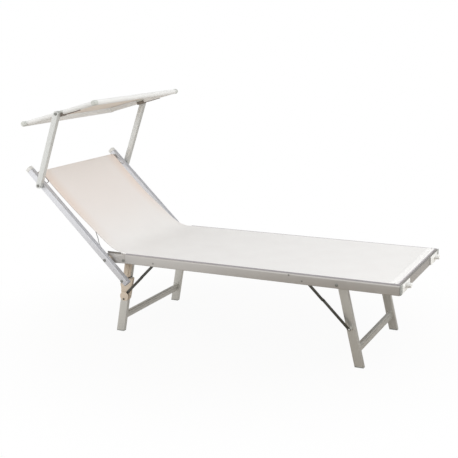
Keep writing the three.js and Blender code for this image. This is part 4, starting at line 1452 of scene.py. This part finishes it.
# %% Leg frames
LEG_HALF = 19
FOOT_HEIGHT = 4
STRETCHER_RISE = 72
STRETCHER_HALF, STRETCHER_UP = 9, 17
LINE_LOW, LINE_HIGH, LINE_DEPTH = 4.6, 6.8, 1.6
COLLAR_LIP = 1.2
CROSS_TUBE_DROP = 34
CROSS_TUBE_RADIUS = 12.5
STUD_SHOULDER = 288.3


def leg_length(pivot_height, splay, height, across):
    """How far down the leg a level at that height lies."""
    lean = radians(splay)
    return (pivot_height - height) / cos(lean) + across * tan(lean)


def leg(pivot_height, splay):
    def low(across):
        return -leg_length(pivot_height, splay, FOOT_HEIGHT + CLEARANCE, across)

    corners = [
        (-LEG_HALF, low(-LEG_HALF)), (LEG_HALF, low(LEG_HALF)),
        (LEG_HALF, LEG_HALF), (-LEG_HALF, LEG_HALF),
    ]
    return drawn_bar(
        "Y", LEG_INNER, LEG_OUTER, corners, [(LEG_HALF - 0.05, (2, 3))], rim=4, rim_segments=4,
    )


def leg_frame(pivot_height, splay, reach, tip):
    """Two legs, the tube between them, and the studs that the stays turn on."""
    def post():
        stud = turned("Y", [
            (0, LEG_OUTER - 1), (7, LEG_OUTER - 1), (7, STUD_SHOULDER), (3.5, STUD_SHOULDER),
            (3.5, tip - 1), (4.6, tip - 1), (4.2, tip - 0.2), (0, tip),
        ], 0, -reach, rim=0.3)
        return merged(leg(pivot_height, splay), stud)

    def weld():
        return turned("Y", [
            (CROSS_TUBE_RADIUS - 1, LEG_INNER - 2.2), (CROSS_TUBE_RADIUS + 0.4, LEG_INNER - 2.6),
            (CROSS_TUBE_RADIUS + 2.4, LEG_INNER + 0.4), (CROSS_TUBE_RADIUS - 1, LEG_INNER + 0.4),
            (CROSS_TUBE_RADIUS - 1, LEG_INNER - 2.2),
        ], 0, -CROSS_TUBE_DROP, rim=0)

    tube_end = LEG_INNER + 1
    tube = rod("Y", CROSS_TUBE_RADIUS, -tube_end, tube_end, 0, -CROSS_TUBE_DROP, rim=0)
    return merged(*both_sides(post), tube, *both_sides(weld))


def stretcher(pivot_height, splay):
    """A flat tube with one drawn line on each face, and a weld collar at both ends."""
    middle = -leg_length(pivot_height, splay, STRETCHER_RISE, 0)
    face, floor = STRETCHER_HALF, STRETCHER_HALF - LINE_DEPTH
    right = [
        (face, -STRETCHER_UP), (face, LINE_LOW), (floor, LINE_LOW + 0.4),
        (floor, LINE_HIGH - 0.4), (face, LINE_HIGH), (face, STRETCHER_UP),
    ]
    corners = right + [(-across, up) for across, up in reversed(right)]
    end = LEG_INNER - CLEARANCE
    bar = drawn_bar(
        "Y", -end, end, [(across, middle + up) for across, up in corners],
        [(6, (0, 5, 6, 11))], rim=0.3,
    )
    wide, high = STRETCHER_HALF + COLLAR_LIP, STRETCHER_UP + COLLAR_LIP

    def collar():
        return drawn_bar(
            "Y", end - 2.2, end, box_corners(-wide, middle - high, wide, middle + high),
            [(6.5, (0, 1, 2, 3))], rim=0.9,
        )

    return merged(bar, *both_sides(collar))


def foot_pad(pivot_height, splay):
    """A moulded sole with a rounded rim, flat on the floor."""
    def level(height, across):
        return -leg_length(pivot_height, splay, height, across)

    return drawn_bar("Y", LEG_INNER, LEG_OUTER, [
        (-LEG_HALF, level(0, -LEG_HALF)), (LEG_HALF, level(0, LEG_HALF)),
        (LEG_HALF, level(FOOT_HEIGHT, LEG_HALF)), (-LEG_HALF, level(FOOT_HEIGHT, -LEG_HALF)),
    ], [(1, (0, 1, 2, 3))], rim=0.9)


STAY_REACH = {"front": 199, "rear": 193}
LEGS = {
    "front": (FRONT_LEG, FRONT_LEG_PIVOT[1], FRONT_SPLAY, 292.6),
    "rear": (REAR_LEG, REAR_LEG_PIVOT[1], REAR_SPLAY, 296.5),
}
for name, (place, height, splay, tip) in LEGS.items():
    body = f"{name}_legs"
    add_piece(
        leg_frame(height, splay, STAY_REACH[name], tip), f"{name}_leg_tubes", place,
        anodised_leg_painted_lighter, body, [f"{name}_leg_frame"], "Z",
    )
    add_piece(
        stretcher(height, splay), f"{name}_stretcher_bar", place, anodised_leg_painted_lighter, body,
        [f"{name}_stretcher"], "Y",
    )
    add_pair(
        lambda: foot_pad(height, splay), f"{name}_foot_pad", place, grey_plastic, body,
        "grey_plastic", f"{name}_foot",
    )
print("legs lean", FRONT_SPLAY, "and", REAR_SPLAY, "degrees")

# %% [markdown]
# ## Folding stays
#
# Two flat steel links hold each leg open. They turn on studs at the rail and at the leg and on
# a rivet at the knee between them, and fold up flat under the rail with the leg. Their knee
# end is a little wider and domed by the rivet.

# %% Folding stays
STAY_HALF = 6
LOWER_STAY = (288.6, 291.6)
UPPER_STAY = (292.3, 295.3)
KNEE_HEAD = 5


def stay_link(length, inner, outer, knee):
    corners = box_corners(-STAY_HALF, -length - STAY_HALF, STAY_HALF, STAY_HALF)
    link = drawn_bar(
        "Y", inner, outer, corners, [(STAY_HALF - 0.02, (0, 1, 2, 3))], rim=0.5,
    )
    if not knee:
        return link
    low = LOWER_STAY[0]
    rivet = turned("Y", [
        (0, low - 1.4), (3, low - 1.2), (KNEE_HEAD - 0.6, low - 0.2), (3.2, low - 0.1),
        (3.2, outer - 0.1), (KNEE_HEAD, outer - 0.1), (KNEE_HEAD - 0.5, outer + 1.0),
        (2.6, outer + 1.8), (0, outer + 1.8),
    ], 0, -length, rim=0)
    return merged(link, rivet)


STAY_TOP = {"front": (850, 360), "rear": (145, 360)}
STAYS = {
    "front": (FRONT_LEG_PIVOT, FRONT_SPLAY, 112.6, 161.7),
    "rear": (REAR_LEG_PIVOT, REAR_SPLAY, 114.6, 154.5),
}
for name, (pivot, splay, upper_length, lower_length) in STAYS.items():
    lean, reach, top = radians(splay), STAY_REACH[name], STAY_TOP[name]
    bottom = (pivot[0] + reach * sin(lean), pivot[1] - reach * cos(lean))
    turn = -degrees(atan2(bottom[0] - top[0], top[1] - bottom[1]))
    add_pair(
        lambda: stay_link(upper_length, *UPPER_STAY, True), f"{name}_stay_upper_link",
        placed(*top, turn), dark_stay_steel, f"{name}_stay_upper", "dark_steel",
        f"{name}_stay_upper", "Z",
    )
    add_pair(
        lambda: stay_link(lower_length, *LOWER_STAY, False), f"{name}_stay_lower_link",
        placed(*bottom, turn + 180), dark_stay_steel, f"{name}_stay_lower", "dark_steel",
        f"{name}_stay_lower", "Z",
    )
    print(name, "stay is", round(hypot(bottom[0] - top[0], bottom[1] - top[1]), 1), "mm open")

# %% [markdown]
# ## Stay studs on the rails
#
# The upper links turn on short studs with a collar, riveted through the rail, and each rivet's
# small head shows on the rail's outer wall. One more rivet sits near the top of the front stay.

# %% Stay studs
FREE_RIVET = (792, 380)


def stay_stud(x, z):
    low, high = UPPER_STAY
    return turned("Y", [
        (0, low - 1.1), (4.4, low - 0.9), (4.8, low - 0.3), (3.5, low - 0.2),
        (3.5, high + 0.2), (7, high + 0.2), (7, RAIL_INNER + 0.4), (0, RAIL_INNER + 0.4),
    ], x, z, rim=0.3)


def rail_rivet(x, z):
    return turned("Y", [
        (0, RAIL_OUTER - 0.6), (4, RAIL_OUTER - 0.6), (4, RAIL_OUTER + 0.2),
        (3, RAIL_OUTER + 1.1), (0, RAIL_OUTER + 1.5),
    ], x, z, rim=0)


add_pair(
    lambda: merged(*(stay_stud(*top) for top in STAY_TOP.values())), "stay_stud", SEAT, zinc,
    "frame", "zinc_steel", grain="Y",
)
add_pair(
    lambda: merged(*(rail_rivet(*top) for top in (FREE_RIVET, *STAY_TOP.values()))),
    "rail_rivet", SEAT, zinc, "frame", "zinc_steel", grain="Y",
)
print("stay pivots", STAY_TOP)

# %% [markdown]
# ## Racks
#
# A moulded nylon rack on each rear leg has a row of round notches that a pin on the backrest
# rail drops into. The notches lie on a circle about the backrest's pivot, so their line is
# found by turning one angle, and the section is then drawn out to the rack's thickness. The
# same moulding runs up the leg as a thin cover, and ends below in a round cheek over the
# stay's lower stud.

# %% Racks
NOTCH_SPACING, NOTCH_DEPTH, NOTCH_COUNT = radians(9), 4, 4
RACK_NEAR = LATCH_REACH + 4.4
RACK_DEPTH, RACK_NECK = 16, 9
RACK_INNER, RACK_OUTER = LEG_OUTER + CLEARANCE, 286
NOSE, TAIL = radians(2.2), radians(3.5)
CHEEK_STEPS = 12
CHEEK_INNER, CHEEK_OUTER = 296.0, 298.4
CHEEK_X, CHEEK_Z, CHEEK_RADIUS = 13, -179, 22


def rack():
    lean = radians(REAR_SPLAY)
    offset = Matrix.Rotation(lean, 3, "Y") @ Vector((
        PIVOT[0] - REAR_LEG_PIVOT[0], 0, PIVOT[1] - REAR_LEG_PIVOT[1],
    ))
    rest = -radians(BACK_ANGLE) - asin(LATCH_DROP / LATCH_REACH) - lean
    nose = rest + NOSE
    tail = rest - NOTCH_SPACING * (NOTCH_COUNT - 1) - TAIL

    def at(angle, radius):
        return (offset.x + radius * cos(angle), offset.z + radius * sin(angle))

    corners = []
    steps = 12 * NOTCH_COUNT
    for step in range(steps + 1):
        angle = nose + (tail - nose) * step / steps
        wave = (1 + cos((angle - rest) * 2 * pi / NOTCH_SPACING)) / 2
        corners.append(at(angle, RACK_NEAR + NOTCH_DEPTH * wave))
    corners.append(at(tail, RACK_NEAR + RACK_DEPTH))
    wide = CHEEK_RADIUS + 1
    for step in range(CHEEK_STEPS + 1):
        angle = radians(-172 + 160 * step / CHEEK_STEPS)
        corners.append((CHEEK_X + wide * cos(angle), CHEEK_Z + wide * sin(angle)))
    corners.append(at(nose, RACK_NEAR + RACK_NECK))
    teeth = drawn_bar("Y", RACK_INNER, RACK_OUTER, corners, rim=1.1, rim_segments=3)
    cover = drawn_bar(
        "Y", RACK_INNER, RACK_INNER + 3,
        box_corners(-LEG_HALF - 0.5, -160, LEG_HALF + 0.5, -24),
        [(6, (2, 3))], rim=1.2, rim_segments=3,
    )
    rib = drawn_bar(
        "Y", RACK_INNER + 2, RACK_INNER + 5.5, box_corners(-5, -150, 7, -34),
        [(3, (2, 3))], rim=1.2,
    )
    return merged(teeth, cover, rib)


def rack_cheek():
    return turned("Y", [
        (0, CHEEK_INNER), (CHEEK_RADIUS - 0.4, CHEEK_INNER), (CHEEK_RADIUS, CHEEK_INNER + 0.5),
        (CHEEK_RADIUS - 0.6, CHEEK_OUTER - 0.4), (CHEEK_RADIUS - 3, CHEEK_OUTER),
        (0, CHEEK_OUTER + 0.8),
    ], CHEEK_X, CHEEK_Z, rim=0)


def rack_screw():
    return turned("Y", [
        (0, CHEEK_OUTER - 0.8), (5, CHEEK_OUTER - 0.8), (4.6, CHEEK_OUTER + 1),
        (2.4, CHEEK_OUTER + 1.8), (2, CHEEK_OUTER + 1), (0, CHEEK_OUTER + 1),
    ], CHEEK_X, CHEEK_Z - 13, rim=0)


add_pair(
    rack, "notched_rack", REAR_LEG, tan_nylon, "rear_legs", "tan_nylon", "rear_rack", "Z",
)
add_pair(rack_cheek, "rack_cheek", REAR_LEG, tan_nylon, "rear_legs", "tan_nylon", grain="Z")
# The rack screw is zinc steel like the other bolts; its dark steel paints the shade in its recess.
add_pair(
    rack_screw, "rack_screw", REAR_LEG, dark_stay_steel, "rear_legs", "zinc_steel", grain="Y",
)
print("rack notches", NOTCH_COUNT)

# %% [markdown]
# ## Sling ties
#
# Low on the backrest a thin elastic tie runs from each edge of the sling to the inner face of
# the rail, and keeps the loose edge from flapping.

# %% Sling ties
TIE_RADIUS = 1.7
tie_points = [
    (-136, 26.5, 302), (-128, 25.6, 305), (-119, 23.7, 309), (-104, 21.9, 315), (-90, 18, 322),
    (-78, 15.5, 328), (-68, 14.2, 330.6), (-60, 13, 331.2),
]
add_line("sling_tie", TIE_RADIUS, tie_points, tie_grey, "backrest", "white_plastic")
print("tie radius", TIE_RADIUS)
